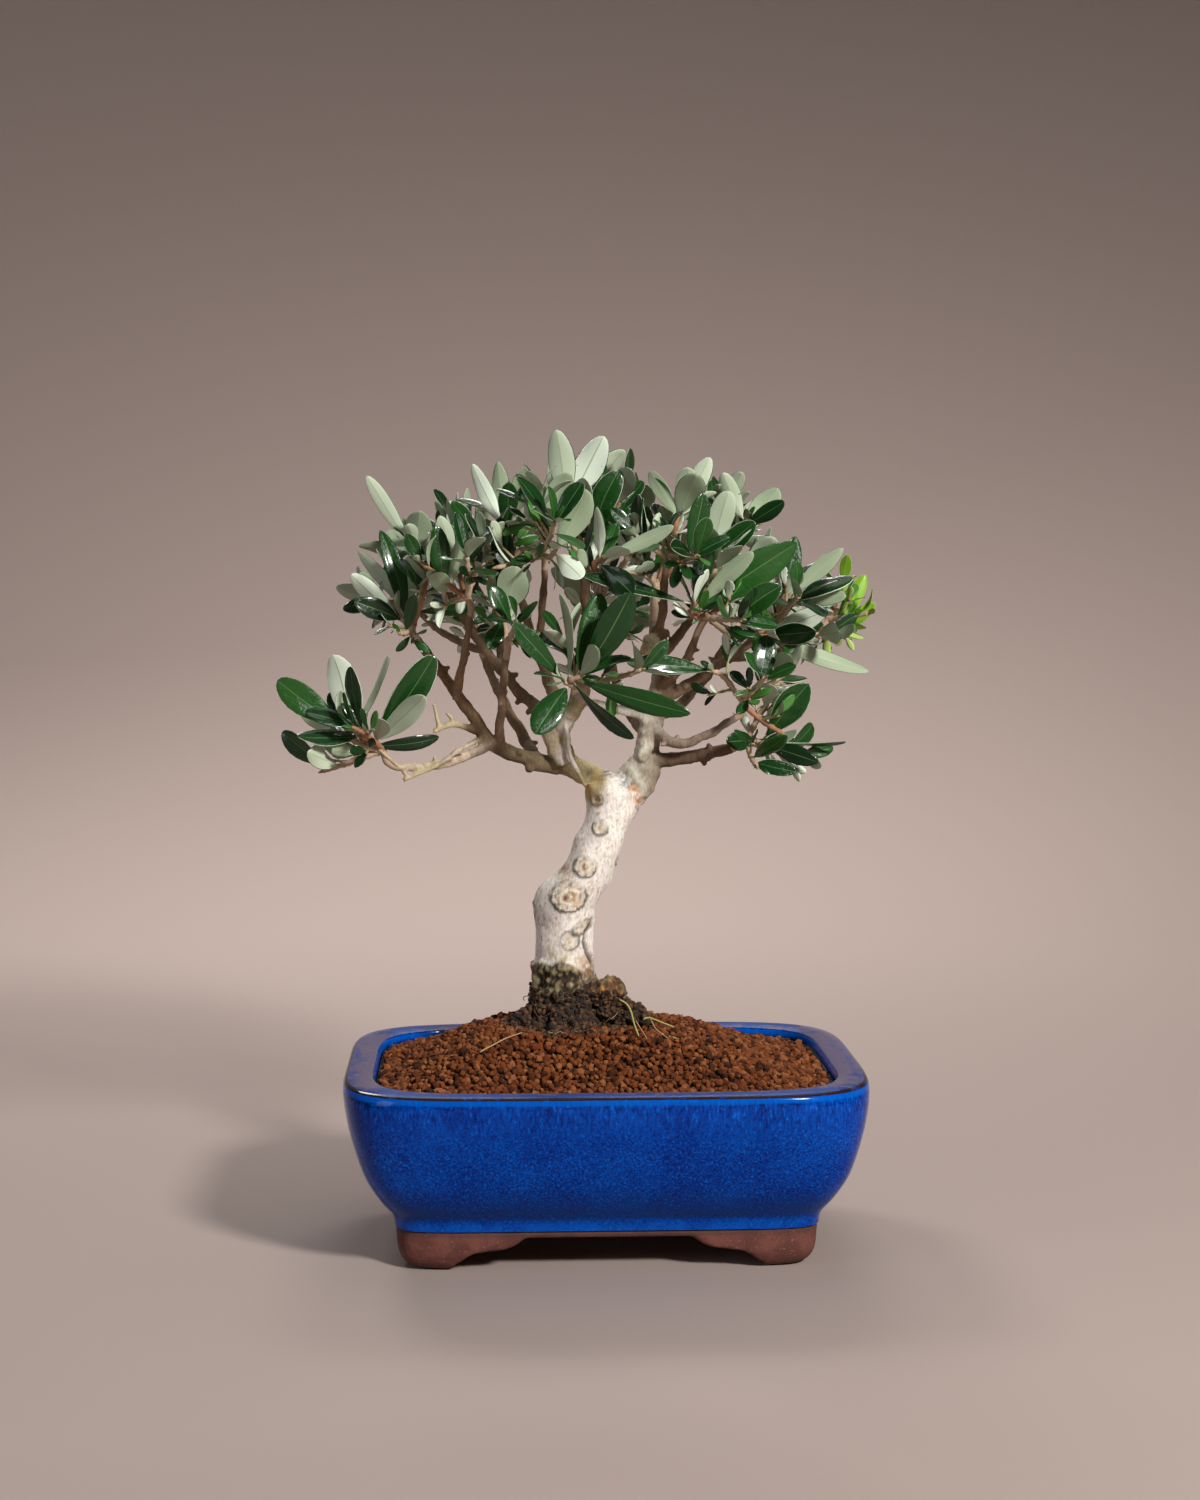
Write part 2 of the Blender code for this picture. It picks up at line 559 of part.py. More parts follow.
def nearest_gap(line_a, radii_a, line_b, radii_b):
    """The least clear space between two tapering tubes, read at points along both."""
    fine = np.linspace(0.0, 1.0, 40)
    a = np.array([point_at(line_a, s) for s in fine])
    b = np.array([point_at(line_b, s) for s in fine])
    thick_a = np.interp(fine, np.linspace(0, 1, len(radii_a)), radii_a)
    thick_b = np.interp(fine, np.linspace(0, 1, len(radii_b)), radii_b)
    apart = np.linalg.norm(a[:, None] - b[None], axis=2)
    return float((apart - thick_a[:, None] - thick_b[None]).min())


def keep_one_body(obj, point=None):
    """Keeps the body that reaches nearest the point, or else the largest one: a loose scrap is
    dropped, and so is the inner wall of a hollow that the union sealed, which fills it."""
    mesh = obj.data
    parent = list(range(len(mesh.vertices)))

    def root(k):
        while parent[k] != k:
            parent[k] = parent[parent[k]]
            k = parent[k]
        return k

    for edge in mesh.edges:
        parent[root(edge.vertices[0])] = root(edge.vertices[1])
    roots = [root(k) for k in range(len(parent))]
    if point is None:
        kept = max(set(roots), key=roots.count)
    else:
        near = Vector(point * MM)
        kept = roots[min(range(len(roots)), key=lambda k: (mesh.vertices[k].co - near).length)]
    keep = [k for k, r in enumerate(roots) if r == kept]
    if len(keep) == len(roots):
        return
    index = {old: new for new, old in enumerate(keep)}
    vertices = [tuple(mesh.vertices[k].co) for k in keep]
    faces = [tuple(index[v] for v in p.vertices) for p in mesh.polygons if roots[p.vertices[0]] == kept]
    made = bpy.data.meshes.new(obj.name)
    made.from_pydata(vertices, [], faces)
    for slot in mesh.materials:
        made.materials.append(slot)
    obj.data = made


def make_limbs(lines, bark):
    """Each limb is cut GAP clear of the trunk and of each limb before it that it would meet."""
    for k, limb in enumerate(LIMBS):
        line, radii = lines[limb.name]
        obj = add_object(limb.name, *loft(tube_rings(line, radii, LIMB_SIDES)), bark)
        for other in ("trunk", *(before.name for before in LIMBS[:k])):
            if nearest_gap(line, radii, *lines[other]) > NEAR:
                continue
            if other == "trunk":
                rings = trunk_rings(grown=GAP)
            else:
                rings = tube_rings(*lines[other], LIMB_SIDES, GAP)
            cutter = add_helper(f"{limb.name}_clear_of_{other}", *loft(rings))
            cut(obj, cutter)
            apply_modifiers(obj)
            bpy.data.objects.remove(cutter)
        keep_one_body(obj, line[-1])
        shade_round(obj, 60.0)


def test_solid(owner, vertices, faces):
    """What the touch test needs of a shape: its owner, its bounding sphere and its tree of faces."""
    points = np.array(vertices)
    centre = (points.min(0) + points.max(0)) / 2
    reach = float(np.linalg.norm(points - centre, axis=1).max())
    return Solid(owner, tuple(centre), reach, BVHTree.FromPolygons([tuple(p) for p in points], faces))


def touches(solid, others, spare=None):
    """Whether a shape's surface crosses another's, sparing what its owner's name leaves out."""
    for other in others:
        if math.dist(solid.centre, other.centre) < solid.reach + other.reach and other.owner != spare:
            if solid.tree.overlap(other.tree):
                return True
    return False


def leaf_rim(leaf, first=0.0, grown=0.0):
    """The outline of a leaf's underside, which rises evenly from the stalk to the tip, and the
    top of its stalk. It can start at a share of the length, and be grown by a clearance."""
    side = np.cross(leaf.face, leaf.along)
    half = 0.5 * leaf.width
    widths = FINE_WIDTHS if leaf.fine else PLAIN_WIDTHS
    root_half = STALK_HALF + (half * widths[0][1] - STALK_HALF) * first / widths[0][0]
    root = leaf.base + leaf.along * max(STALK_START, leaf.length * first)

    def low(share, aside):
        sunk = leaf.face * LEAF_BELOW * (1.0 - share)
        return leaf.base + leaf.along * leaf.length * share + side * aside - sunk

    rim = [root - side * (root_half + grown) - leaf.face * LEAF_BELOW]
    rim += [root + side * (root_half + grown) - leaf.face * LEAF_BELOW]
    rim += [low(share, half * width + grown) for share, width in widths]
    rim += [low(1.0 + grown / leaf.length, 0.0)]
    rim += [low(share, -half * width - grown) for share, width in reversed(widths)]
    return rim, root + leaf.face * LEAF_ABOVE * (1.0 - first)


def leaf_solid(leaf):
    """A leaf of few faces: flat below, ridged above from its sunk stalk to its tip."""
    rim, ridge = leaf_rim(leaf)
    count = len(rim)
    faces = [tuple(range(count))]
    faces += [((k + 1) % count, k, count) for k in range(count)]
    return [*rim, ridge], faces


def leaf_space(leaf, first, grown):
    """The space that a leaf takes, with a clearance all round, from a share of its length on."""
    rim, ridge = leaf_rim(leaf, first, grown)
    count = len(rim)
    below = [point - leaf.face * grown for point in rim]
    above = [point + leaf.face * grown for point in rim]
    faces = [tuple(range(count))]
    faces += [((k + 1) % count, k, count + k, count + (k + 1) % count) for k in range(count)]
    faces += [(count + (k + 1) % count, count + k, 2 * count) for k in range(count)]
    return [*below, *above, ridge + leaf.face * grown], faces


def twig_solid(twig, sides=3, grown=0.0):
    return loft(tube_rings(twig.line, twig.radii, sides, grown))


class Growth:
    """One mass as it grows: its stem, twigs and leaves, and what they must keep clear of."""

    def __init__(self, mass, standing, feet):
        self.mass = mass
        self.draw = random.Random(mass.name)
        self.standing = standing
        self.feet = feet
        self.own = []
        self.twigs = []
        self.leaves = []
        self.stem = None

    def inside(self, points):
        apart = (np.atleast_2d(points) - self.mass.centre) / np.array(self.mass.reach)
        return bool((apart**2).sum(1).max() <= 1.0)

    def grow_stem(self, line, radii):
        """The stem goes on squarely from the limb's tip and bends over to the mass's hub."""
        heading = unit(line[-1] - line[-2])
        start = line[-1] + heading * GAP
        to_centre = np.array(self.mass.centre) - start
        others = [solid for solid in self.standing if solid.owner not in (self.mass.limb, self.mass.name)]
        for share in HUB_SHARES:
            self.hub = start + to_centre * share
            stem_line = leading_line(start, heading, self.hub, 2)
            self.stem = Twig(stem_line, np.linspace(radii[-1] * STEM_ROOT_SHARE, STEM_RADIUS, len(stem_line)))
            if not touches(test_solid("stem", *twig_solid(self.stem, 6, SHOOT_CLEARANCE)), others):
                break
        self.axis = unit(unit(to_centre) + unit(np.array(self.mass.centre) - CROWN_HEART))
        self.standing.append(test_solid(self.mass.name, *twig_solid(self.stem)))

    def add_twig(self, foot, heading, length, strict):
        """A twig from the stem to a rosette's foot, and on as the shoot. None where it can't go."""
        fork = point_at(self.stem.line, self.draw.uniform(FORK_FROM, 1.0))
        line = np.array([fork, foot, foot + heading * length])
        twig = Twig(line, [TWIG_ROOT_RADIUS, TWIG_RADIUS, SHOOT_RADIUS])
        owner = f"{self.mass.name} {len(self.twigs)}"
        shoot = Twig(line[1:], twig.radii[1:])
        if touches(test_solid(owner, *twig_solid(twig, 4, SHOOT_CLEARANCE)), self.standing, self.mass.name):
            return None
        if strict and touches(test_solid(owner, *twig_solid(shoot, 4, SHOOT_CLEARANCE)), self.own):
            return None
        self.twigs.append(twig)
        self.own.append(test_solid(owner, *twig_solid(twig)))
        self.standing.append(test_solid(self.mass.name, *twig_solid(twig)))
        self.feet.append(foot)
        return owner

    def add_leaf(self, leaf, owner, leads=False):
        """Keeps a leaf if it is in the mass's space and clear of limbs, twigs and other leaves."""
        whole = leaf_space(leaf, 0.0, LEAF_CLEARANCE)
        if not (leads or self.inside(whole[0])):
            return False
        if touches(test_solid(owner, *whole), self.standing, self.mass.name):
            return False
        blade = leaf_space(leaf, BLADE_FROM, 0.5 * LEAF_CLEARANCE)
        if not leads and touches(test_solid(owner, *blade), self.own, owner):
            return False
        self.leaves.append(leaf)
        self.own.append(test_solid("", *leaf_space(leaf, BLADE_FROM, 0.0)))
        self.standing.append(test_solid(self.mass.name, *leaf_solid(leaf)))
        return True

    def lead_rosette(self, foot, leads):
        """A rosette of leading leaves, nudged by a few degrees where two would meet."""
        foot = np.array(foot, float)
        ways = [lead_way(clock, lean) for _, clock, lean, _, _ in leads]
        heading = unit(np.sum(ways, axis=0) + unit(foot - self.stem.line[-1]))
        owner = self.add_twig(foot - heading * LEAD_SHOOT, heading, LEAD_SHOOT, strict=False)
        for k, (length, clock, lean, width, roll) in enumerate(leads if owner else ()):
            base = foot - heading * (LEAD_FIRST + LEAD_STEP * k)
            for trial in range(TRIES):
                nudge = LEAD_NUDGE * trial
                turned_clock = clock + self.draw.uniform(-nudge, nudge)
                way = lead_way(turned_clock, lean + self.draw.uniform(-nudge, nudge))
                front = np.array([0.0, -1.0, 0.0])
                front = unit(front - way * front.dot(way))
                rolled = math.radians(roll)
                face = front * math.cos(rolled) + np.cross(way, front) * math.sin(rolled)
                leaf = Leaf(base, way, face, float(length), float(width), width >= FINE_FROM)
                if self.add_leaf(leaf, owner, leads=True):
                    break
        return owner, foot, heading

    def seeded_rosette(self, k):
        """A rosette placed by the rule, as far from the others as its few candidates allow."""
        side, up = across(self.axis)
        best = None
        for _ in range(CANDIDATES):
            polar = self.draw.uniform(*ROSETTE_POLAR)
            turn = k * GOLDEN_ANGLE + self.draw.uniform(-ROSETTE_TURN, ROSETTE_TURN)
            aside = side * math.cos(turn) + up * math.sin(turn)
            out = unit(self.axis * math.cos(polar) + aside * math.sin(polar))
            room = 1.0 / np.linalg.norm(out / np.array(self.mass.reach))
            foot = self.hub + out * room * self.draw.uniform(*ROSETTE_DISTANCE)
            apart = min((np.linalg.norm(foot - other) for other in self.feet), default=99.0)
            if best is None or apart > best[0]:
                best = (apart, foot, unit(out + 0.25 * self.axis))
        _, foot, heading = best
        length = NODE_STEP * NODES_PER_SHOOT
        owner = self.add_twig(foot, heading, length, strict=True)
        return owner, foot + heading * length, heading

    def fill_rosette(self, owner, tip, heading, pairs):
        """Pairs of leaves below the shoot's tip, each a quarter turn from the last."""
        first_turn = self.draw.uniform(0.0, math.pi)
        for node in range(pairs):
            rank = (node + 1) / pairs
            base = tip - heading * NODE_STEP * (pairs - node - 0.6)
            for half in (0.0, math.pi):
                turn = first_turn + node * math.pi / 2 + half
                for _ in range(TRIES):
                    leaf_turn = turn + self.draw.uniform(-LEAF_TURN, LEAF_TURN)
                    leaf = draw_leaf(self.draw, base, heading, leaf_turn, rank, self.mass.leaf)
                    if self.add_leaf(leaf, owner):
                        break

    def grow_leading(self, line, radii):
        self.grow_stem(line, radii)
        leading = [row for row in LEADING if row[0] == self.mass.name]
        self.led = [self.lead_rosette(foot, leads) for _, foot, leads in leading]

    def grow_rest(self):
        for owner, foot, heading in self.led:
            if owner:
                self.fill_rosette(owner, foot, heading, 1)
        for k in range(self.mass.shoots):
            for _ in range(TRIES):
                owner, tip, heading = self.seeded_rosette(k)
                if owner:
                    self.fill_rosette(owner, tip, heading, NODES_PER_SHOOT)
                    break


def lead_way(clock, lean):
    """The direction of a leaf from its clock angle in the front view and its lean to the front."""
    clock, lean = math.radians(clock), math.radians(lean)
    return np.array([math.cos(clock) * math.cos(lean), -math.sin(lean), math.sin(clock) * math.cos(lean)])


def draw_leaf(draw, base, axis, turn, rank, size):
    """One leaf of a pair. Rank runs up to 1 at the shoot's tip, where the leaves stand closer."""
    side, up = across(axis)
    out = side * math.cos(turn) + up * math.sin(turn)
    low_spread, tip_spread = LEAF_SPREADS
    spread = low_spread + (tip_spread - low_spread) * rank + draw.uniform(-SPREAD_VARIES, SPREAD_VARIES)
    spread = math.radians(spread)
    along = unit(axis * math.cos(spread) + out * math.sin(spread) + np.array([0.0, 0.0, LEAF_RISE]))
    low_size, tip_size = LEAF_SIZES
    length = size * (low_size + (tip_size - low_size) * rank) * draw.uniform(*LENGTH_VARIES)
    face = axis * FACE_ALONG_SHOOT + np.array([0.0, 0.0, FACE_UP])
    face = unit(face + side * draw.uniform(-FACE_VARIES, FACE_VARIES))
    face = unit(face - along * face.dot(along))
    return Leaf(base, along, face, length, length * draw.uniform(*WIDTH_SHARES), False)


def make_mass(growth, foliage):
    """Fuses the stem, twigs and leaves of a mass into one closed solid."""
    name = growth.mass.name
    parts = bpy.data.collections.new(name + "_parts")
    bpy.context.scene.collection.children.link(parts)
    body = add_object(name, *twig_solid(growth.stem, 4), foliage)
    pieces = [twig_solid(twig) for twig in growth.twigs]
    pieces += [leaf_solid(leaf) for leaf in growth.leaves]
    for k, piece in enumerate(pieces):
        obj = add_object(f"{name}_{k}", *piece)
        bpy.context.scene.collection.objects.unlink(obj)
        parts.objects.link(obj)
    union = body.modifiers.new("fuse", "BOOLEAN")
    union.operation = "UNION"
    union.operand_type = "COLLECTION"
    union.collection = parts
    union.solver = "MANIFOLD"
    apply_modifiers(body)
    for obj in list(parts.objects):
        bpy.data.objects.remove(obj)
    bpy.data.collections.remove(parts)
    keep_one_body(body)
    shade_round(body, 25.0)


def grow_crown(lines, foliage):
    """Grows all the leading leaves, then fills the masses in turn, each round what stands already."""
    standing = [test_solid("trunk", *loft(trunk_rings()))]
    standing += [test_solid(limb.name, *loft(tube_rings(*lines[limb.name], LIMB_SIDES))) for limb in LIMBS]
    feet = []
    growths = [Growth(mass, standing, feet) for mass in MASSES]
    for growth in growths:
        growth.grow_leading(*lines[growth.mass.limb])
    for growth in growths:
        growth.grow_rest()
        make_mass(growth, foliage)


def centre_frame():
    """Moves everything so that the origin is on the floor, under the middle of the whole plant."""
    bpy.context.view_layer.update()
    graph = bpy.context.evaluated_depsgraph_get()
    parts = [o for o in bpy.context.scene.objects if not o.hide_render]
    corners = np.array([tuple(c) for o in parts for c in o.evaluated_get(graph).bound_box])
    shift = -(corners.min(0) + corners.max(0)) / 2
    shift[2] = -corners[:, 2].min()
    for obj in bpy.context.scene.objects:
        obj.location = tuple(shift)


def main():
    for obj in list(bpy.data.objects):
        bpy.data.objects.remove(obj)
    glaze = material("blue_glaze", (0.01, 0.055, 0.30), 0.12, coat=0.6)
    clay = material("red_clay", (0.20, 0.075, 0.05), 0.75)
    earth = material("akadama_soil", (0.16, 0.065, 0.03), 0.95)
    pale_bark = material("pale_bark", (0.62, 0.55, 0.46), 0.8)
    limb_bark = material("limb_bark", (0.34, 0.26, 0.17), 0.75)
    foliage = material("olive_leaf", (0.055, 0.13, 0.06), 0.35)
    make_bowl(glaze)
    make_clay_foot(clay)
    make_soil(earth)
    make_trunk(pale_bark)
    lines = limb_lines()
    make_limbs(lines, limb_bark)
    grow_crown(lines, foliage)
    centre_frame()


main()
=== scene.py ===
"""Looks of the olive bonsai: glazed pot, bare clay foot, granular soil, bark, twigs and leaves.

Lengths are in millimetres from the middle of the pot's foot, as in the part's own source, and
become metres in the frame as each mesh is made. The tree grows by the source's rule, written
again here, and is carried on to finer twigs and smaller leaves within the same spaces.
"""

import json
import math
import random
from collections import namedtuple

import bpy
import numpy as np
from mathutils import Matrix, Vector, noise
from mathutils.bvhtree import BVHTree
from mathutils.kdtree import KDTree

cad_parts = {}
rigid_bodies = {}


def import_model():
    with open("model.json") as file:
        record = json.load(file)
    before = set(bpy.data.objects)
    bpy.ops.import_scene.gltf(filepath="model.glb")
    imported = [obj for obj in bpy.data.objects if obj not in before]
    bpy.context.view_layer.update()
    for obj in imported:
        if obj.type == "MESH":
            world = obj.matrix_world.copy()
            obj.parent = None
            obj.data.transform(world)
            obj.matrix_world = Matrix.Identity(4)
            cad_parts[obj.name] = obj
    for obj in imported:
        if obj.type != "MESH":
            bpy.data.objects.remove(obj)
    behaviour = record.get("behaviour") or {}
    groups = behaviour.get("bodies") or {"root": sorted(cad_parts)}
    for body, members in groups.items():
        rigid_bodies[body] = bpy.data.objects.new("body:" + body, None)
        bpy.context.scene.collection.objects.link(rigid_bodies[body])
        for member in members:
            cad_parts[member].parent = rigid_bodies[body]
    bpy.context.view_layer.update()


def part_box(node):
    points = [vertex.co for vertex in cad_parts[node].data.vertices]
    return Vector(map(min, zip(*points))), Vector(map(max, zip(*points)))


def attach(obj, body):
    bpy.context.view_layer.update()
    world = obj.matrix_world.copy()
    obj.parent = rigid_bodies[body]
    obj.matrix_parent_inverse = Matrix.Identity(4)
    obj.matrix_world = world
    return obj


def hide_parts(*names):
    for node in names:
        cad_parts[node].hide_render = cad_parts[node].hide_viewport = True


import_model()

MM = 0.001
GAP = 0.3
POT_LOW, POT_HIGH = (np.array(corner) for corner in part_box("pot_bowl"))
POT_MIDDLE = (POT_LOW + POT_HIGH) / 2 * (1, 1, 0)

# The pot, in the source's measures
POT_HALF_WIDTH = 100.3
POT_HALF_DEPTH = 76.0
RIM_POWER = 5.0
FOOT_POWER = 12.0
POT_SIDES = 192
POT_HEIGHT = 70.0
GLAZE_FOOT = 15.8
BOWL_OUTSIDE = (
    (19.4, GLAZE_FOOT),
    (19.1, 18.2),
    (18.2, 20.6),
    (15.2, 24.2),
    (11.3, 29.8),
    (7.6, 36.8),
    (3.5, 49.0),
    (1.0, 59.0),
    (0.0, 66.0),
    (0.1, 68.4),
    (0.5, 69.4),
    (1.4, POT_HEIGHT),
)
BOWL_INSIDE = (
    (4.0, 70.05),
    (9.5, POT_HEIGHT),
    (11.0, 69.6),
    (11.8, 68.4),
    (12.0, 66.0),
    (12.0, 52.0),
    (16.0, 36.0),
    (22.5, 26.5),
    (30.0, 22.0),
)
CLAY_OUTSIDE = (
    (28.4, 0.0),
    (26.8, 0.15),
    (25.2, 0.6),
    (23.2, 1.9),
    (21.6, 4.4),
    (20.7, 8.0),
    (20.1, GLAZE_FOOT),
)
FOOT_POCKET = ((46.0, -1.0), (43.0, 13.4))
CLOUD_ARCH = (
    (21.0, 0.0),
    (23.5, 2.4),
    (26.0, 4.1),
    (28.4, 6.0),
    (30.8, 7.1),
    (34.0, 7.6),
    (39.5, 8.2),
    (43.1, 8.9),
    (46.2, 10.3),
    (48.2, 11.8),
    (50.2, 13.0),
)
SIDE_ARCH_SHARE = 0.85
PROFILE_STEP = 2.2
CLAY_STEP = 1.0
ARCH_STEP = 1.5
UNEVEN_SIZE = (0.02, 0.02, 0.035)  # how quickly the bowl's unevenness changes, per millimetre
UNEVEN_DEPTH = 0.004  # as a share of the way from the middle
SHARP_EDGE = 40.0

# The glaze's colours
GLAZE_DEEP = ((0.0, 0.010, 0.125), (0.0, 0.018, 0.165))
GLAZE_PLAIN = ((0.0, 0.031, 0.255), (0.0, 0.050, 0.335))
GLAZE_SPECK = (0.002, 0.120, 0.560)
GLAZE_POOLED = (0.0, 0.028, 0.165)
GLAZE_THIN = (0.001, 0.085, 0.46)
# painted highlight along the rim's rounded outer edge
GLAZE_LIT_EDGE = (0.001, 0.105, 0.52)
GLAZE_BLOT = (0.0, 0.006, 0.045)
GLAZE_TOP = ((0.004, 0.040, 0.215), (0.105, 0.090, 0.150))  # glossy, and worn with a painted violet-grey reflection
GLAZE_LINE = (0.020, 0.010, 0.010)
GLAZE_ROUGHNESS = (0.11, 0.42)  # glossy, and where the rim's top is worn dull

# The soil
SOIL_AT_RIM = 67.4
GROUND = 84.5
TRUNK_FOOT = (-13.0, 0.0)
PLATEAU_SHARE = 0.3
WALL_HALVINGS = 18  # how often the way to the pot's wall is halved to find the wall
GRAIN_SPACING = 2.4
GRAIN_RADIUS = (1.05, 1.75)
HEAP_HEIGHT = 3.0  # how much higher the grains heap up against the root crown
HEAP_REACH = 33.0
HEAP_POWER = 1.5

# The trunk and limbs
TRUNK_LINE = (
    (-13.0, 0.0, GROUND + GAP, 18.5),
    (-13.6, 0.0, 89.5, 15.6),
    (-14.4, 0.0, 95.5, 13.0),
    (-14.8, 0.0, 102.0, 12.0),
    (-14.9, 0.0, 110.0, 11.7),
    (-14.8, 0.0, 120.0, 11.4),
    (-13.7, -0.5, 131.5, 11.2),
    (-8.0, -1.5, 141.0, 9.2),
    (-2.3, -2.0, 152.0, 8.9),
    (1.5, -1.5, 163.0, 8.4),
    (3.5, 0.0, 171.5, 10.3),
    (3.7, 0.0, 177.0, 10.0),
    (4.0, 0.0, 181.0, 6.0),
)
TRUNK_SIDES = 12
TRUNK_RING_STEP = 5.0
FINE_TRUNK_SIDES = 64
FINE_TRUNK_STEP = 1.0
ROOTS = 5
ROOT_RIDGE = 0.16
ROOT_HEIGHT = 16.0
SCARS = (
    (104.0, -80.0, 6.0, 1.0),
    (118.0, -75.0, 5.2, 1.0),
    (130.5, 175.0, 5.0, 2.0),
    (132.0, -95.0, 6.2, 1.9),
    (144.0, -98.0, 4.8, 1.3),
    (145.0, 5.0, 3.6, 1.5),
    (154.0, 178.0, 5.0, 1.2),
    (160.0, -95.0, 4.0, 0.9),
    (169.0, -20.0, 4.6, 1.4),
    (136.0, 60.0, 5.5, 1.4),
    (155.0, 95.0, 4.6, 1.2),
)
Limb = namedtuple("Limb", "name parent share tip bow thick thin")
LIMBS = (
    Limb("left_fork", "trunk", 0.955, (-9.0, -18.0, 212.5), (-13.5, 3.0, -2.0), 5.2, 3.2),
    Limb("right_fork", "trunk", 0.94, (21.0, 3.0, 242.0), (8.5, 0.0, -4.0), 5.9, 2.9),
    Limb("left_arm", "left_fork", 0.31, (-46.5, -10.0, 197.0), (0.0, 0.0, -3.0), 3.9, 2.9),
    Limb("left_rise", "left_arm", 0.95, (-72.0, -7.0, 235.0), (1.5, 0.0, -1.0), 2.8, 1.7),
    Limb("low_left_arm", "left_arm", 0.9, (-78.0, -20.0, 186.5), (0.0, 0.0, -3.0), 2.1, 1.5),
    Limb("left_inner_limb", "left_arm", 0.8, (-37.5, -25.0, 229.0), (-1.0, -2.0, 0.0), 2.0, 1.4),
    Limb("left_front_limb", "left_rise", 0.45, (-51.0, -27.0, 245.0), (0.0, -3.0, -2.0), 1.9, 1.3),
    Limb("left_back_limb", "left_fork", 0.68, (-60.0, 14.0, 253.0), (0.0, 4.0, -6.0), 2.7, 1.6),
    Limb("left_crown_limb", "left_fork", 0.78, (-33.0, 8.0, 258.0), (-2.0, 4.0, 0.0), 2.6, 1.6),
    Limb("centre_rise", "left_fork", 0.88, (-8.0, 10.0, 266.0), (4.0, 6.0, 0.0), 2.9, 1.7),
    Limb("centre_front_limb", "centre_rise", 0.4, (-2.0, -24.0, 248.0), (0.0, -3.0, -3.0), 1.8, 1.3),
    Limb("right_arm", "right_fork", 0.21, (50.0, -11.0, 193.0), (0.0, 1.0, -1.5), 3.2, 2.1),
    Limb("right_curve", "right_fork", 0.42, (50.5, -18.0, 205.0), (-4.0, -4.0, -8.0), 2.4, 1.5),
    Limb("right_rise", "right_fork", 0.63, (35.0, -22.0, 237.0), (1.0, -3.0, -2.0), 2.1, 1.4),
    Limb("right_out_limb", "right_fork", 0.56, (63.0, -2.0, 237.5), (-2.0, 0.0, -3.0), 2.7, 1.6),
    Limb("right_far_limb", "right_out_limb", 0.66, (87.0, 6.0, 240.0), (0.0, 2.0, -4.0), 1.7, 1.1),
    Limb("right_top_limb", "right_fork", 0.8, (45.0, 10.0, 265.0), (1.0, 2.0, -3.0), 2.2, 1.5),
    Limb("front_right_limb", "right_fork", 0.9, (23.0, -22.0, 261.0), (0.0, -4.0, -2.0), 1.9, 1.4),
    Limb("front_left_limb", "left_crown_limb", 0.5, (-23.0, -24.0, 262.0), (0.0, -3.0, -2.0), 1.8, 1.3),
    Limb("back_left_limb", "left_arm", 0.4, (-46.0, 36.0, 226.0), (2.0, 3.0, -6.0), 2.7, 1.6),
    Limb("back_centre_limb", "right_fork", 0.36, (3.0, 43.0, 232.0), (0.0, 2.0, -6.0), 2.6, 1.6),
    Limb("back_right_limb", "right_fork", 0.48, (51.0, 36.0, 230.0), (0.0, 3.0, -6.0), 2.5, 1.6),
    Limb("back_left_top_limb", "left_back_limb", 0.5, (-39.0, 38.0, 260.0), (0.0, 3.0, -2.0), 1.9, 1.3),
    Limb("back_top_limb", "centre_rise", 0.62, (4.0, 36.0, 266.0), (0.0, 3.0, -3.0), 1.9, 1.4),
    Limb("back_right_top_limb", "right_top_limb", 0.45, (43.0, 38.0, 260.0), (0.0, 3.0, -3.0), 1.8, 1.3),
    Limb("far_left_back_limb", "left_back_limb", 0.62, (-75.0, 32.0, 247.0), (0.0, 3.0, -3.0), 1.8, 1.2),
)
LIMB_SEGMENTS = 4
LIMB_SIDES = 6

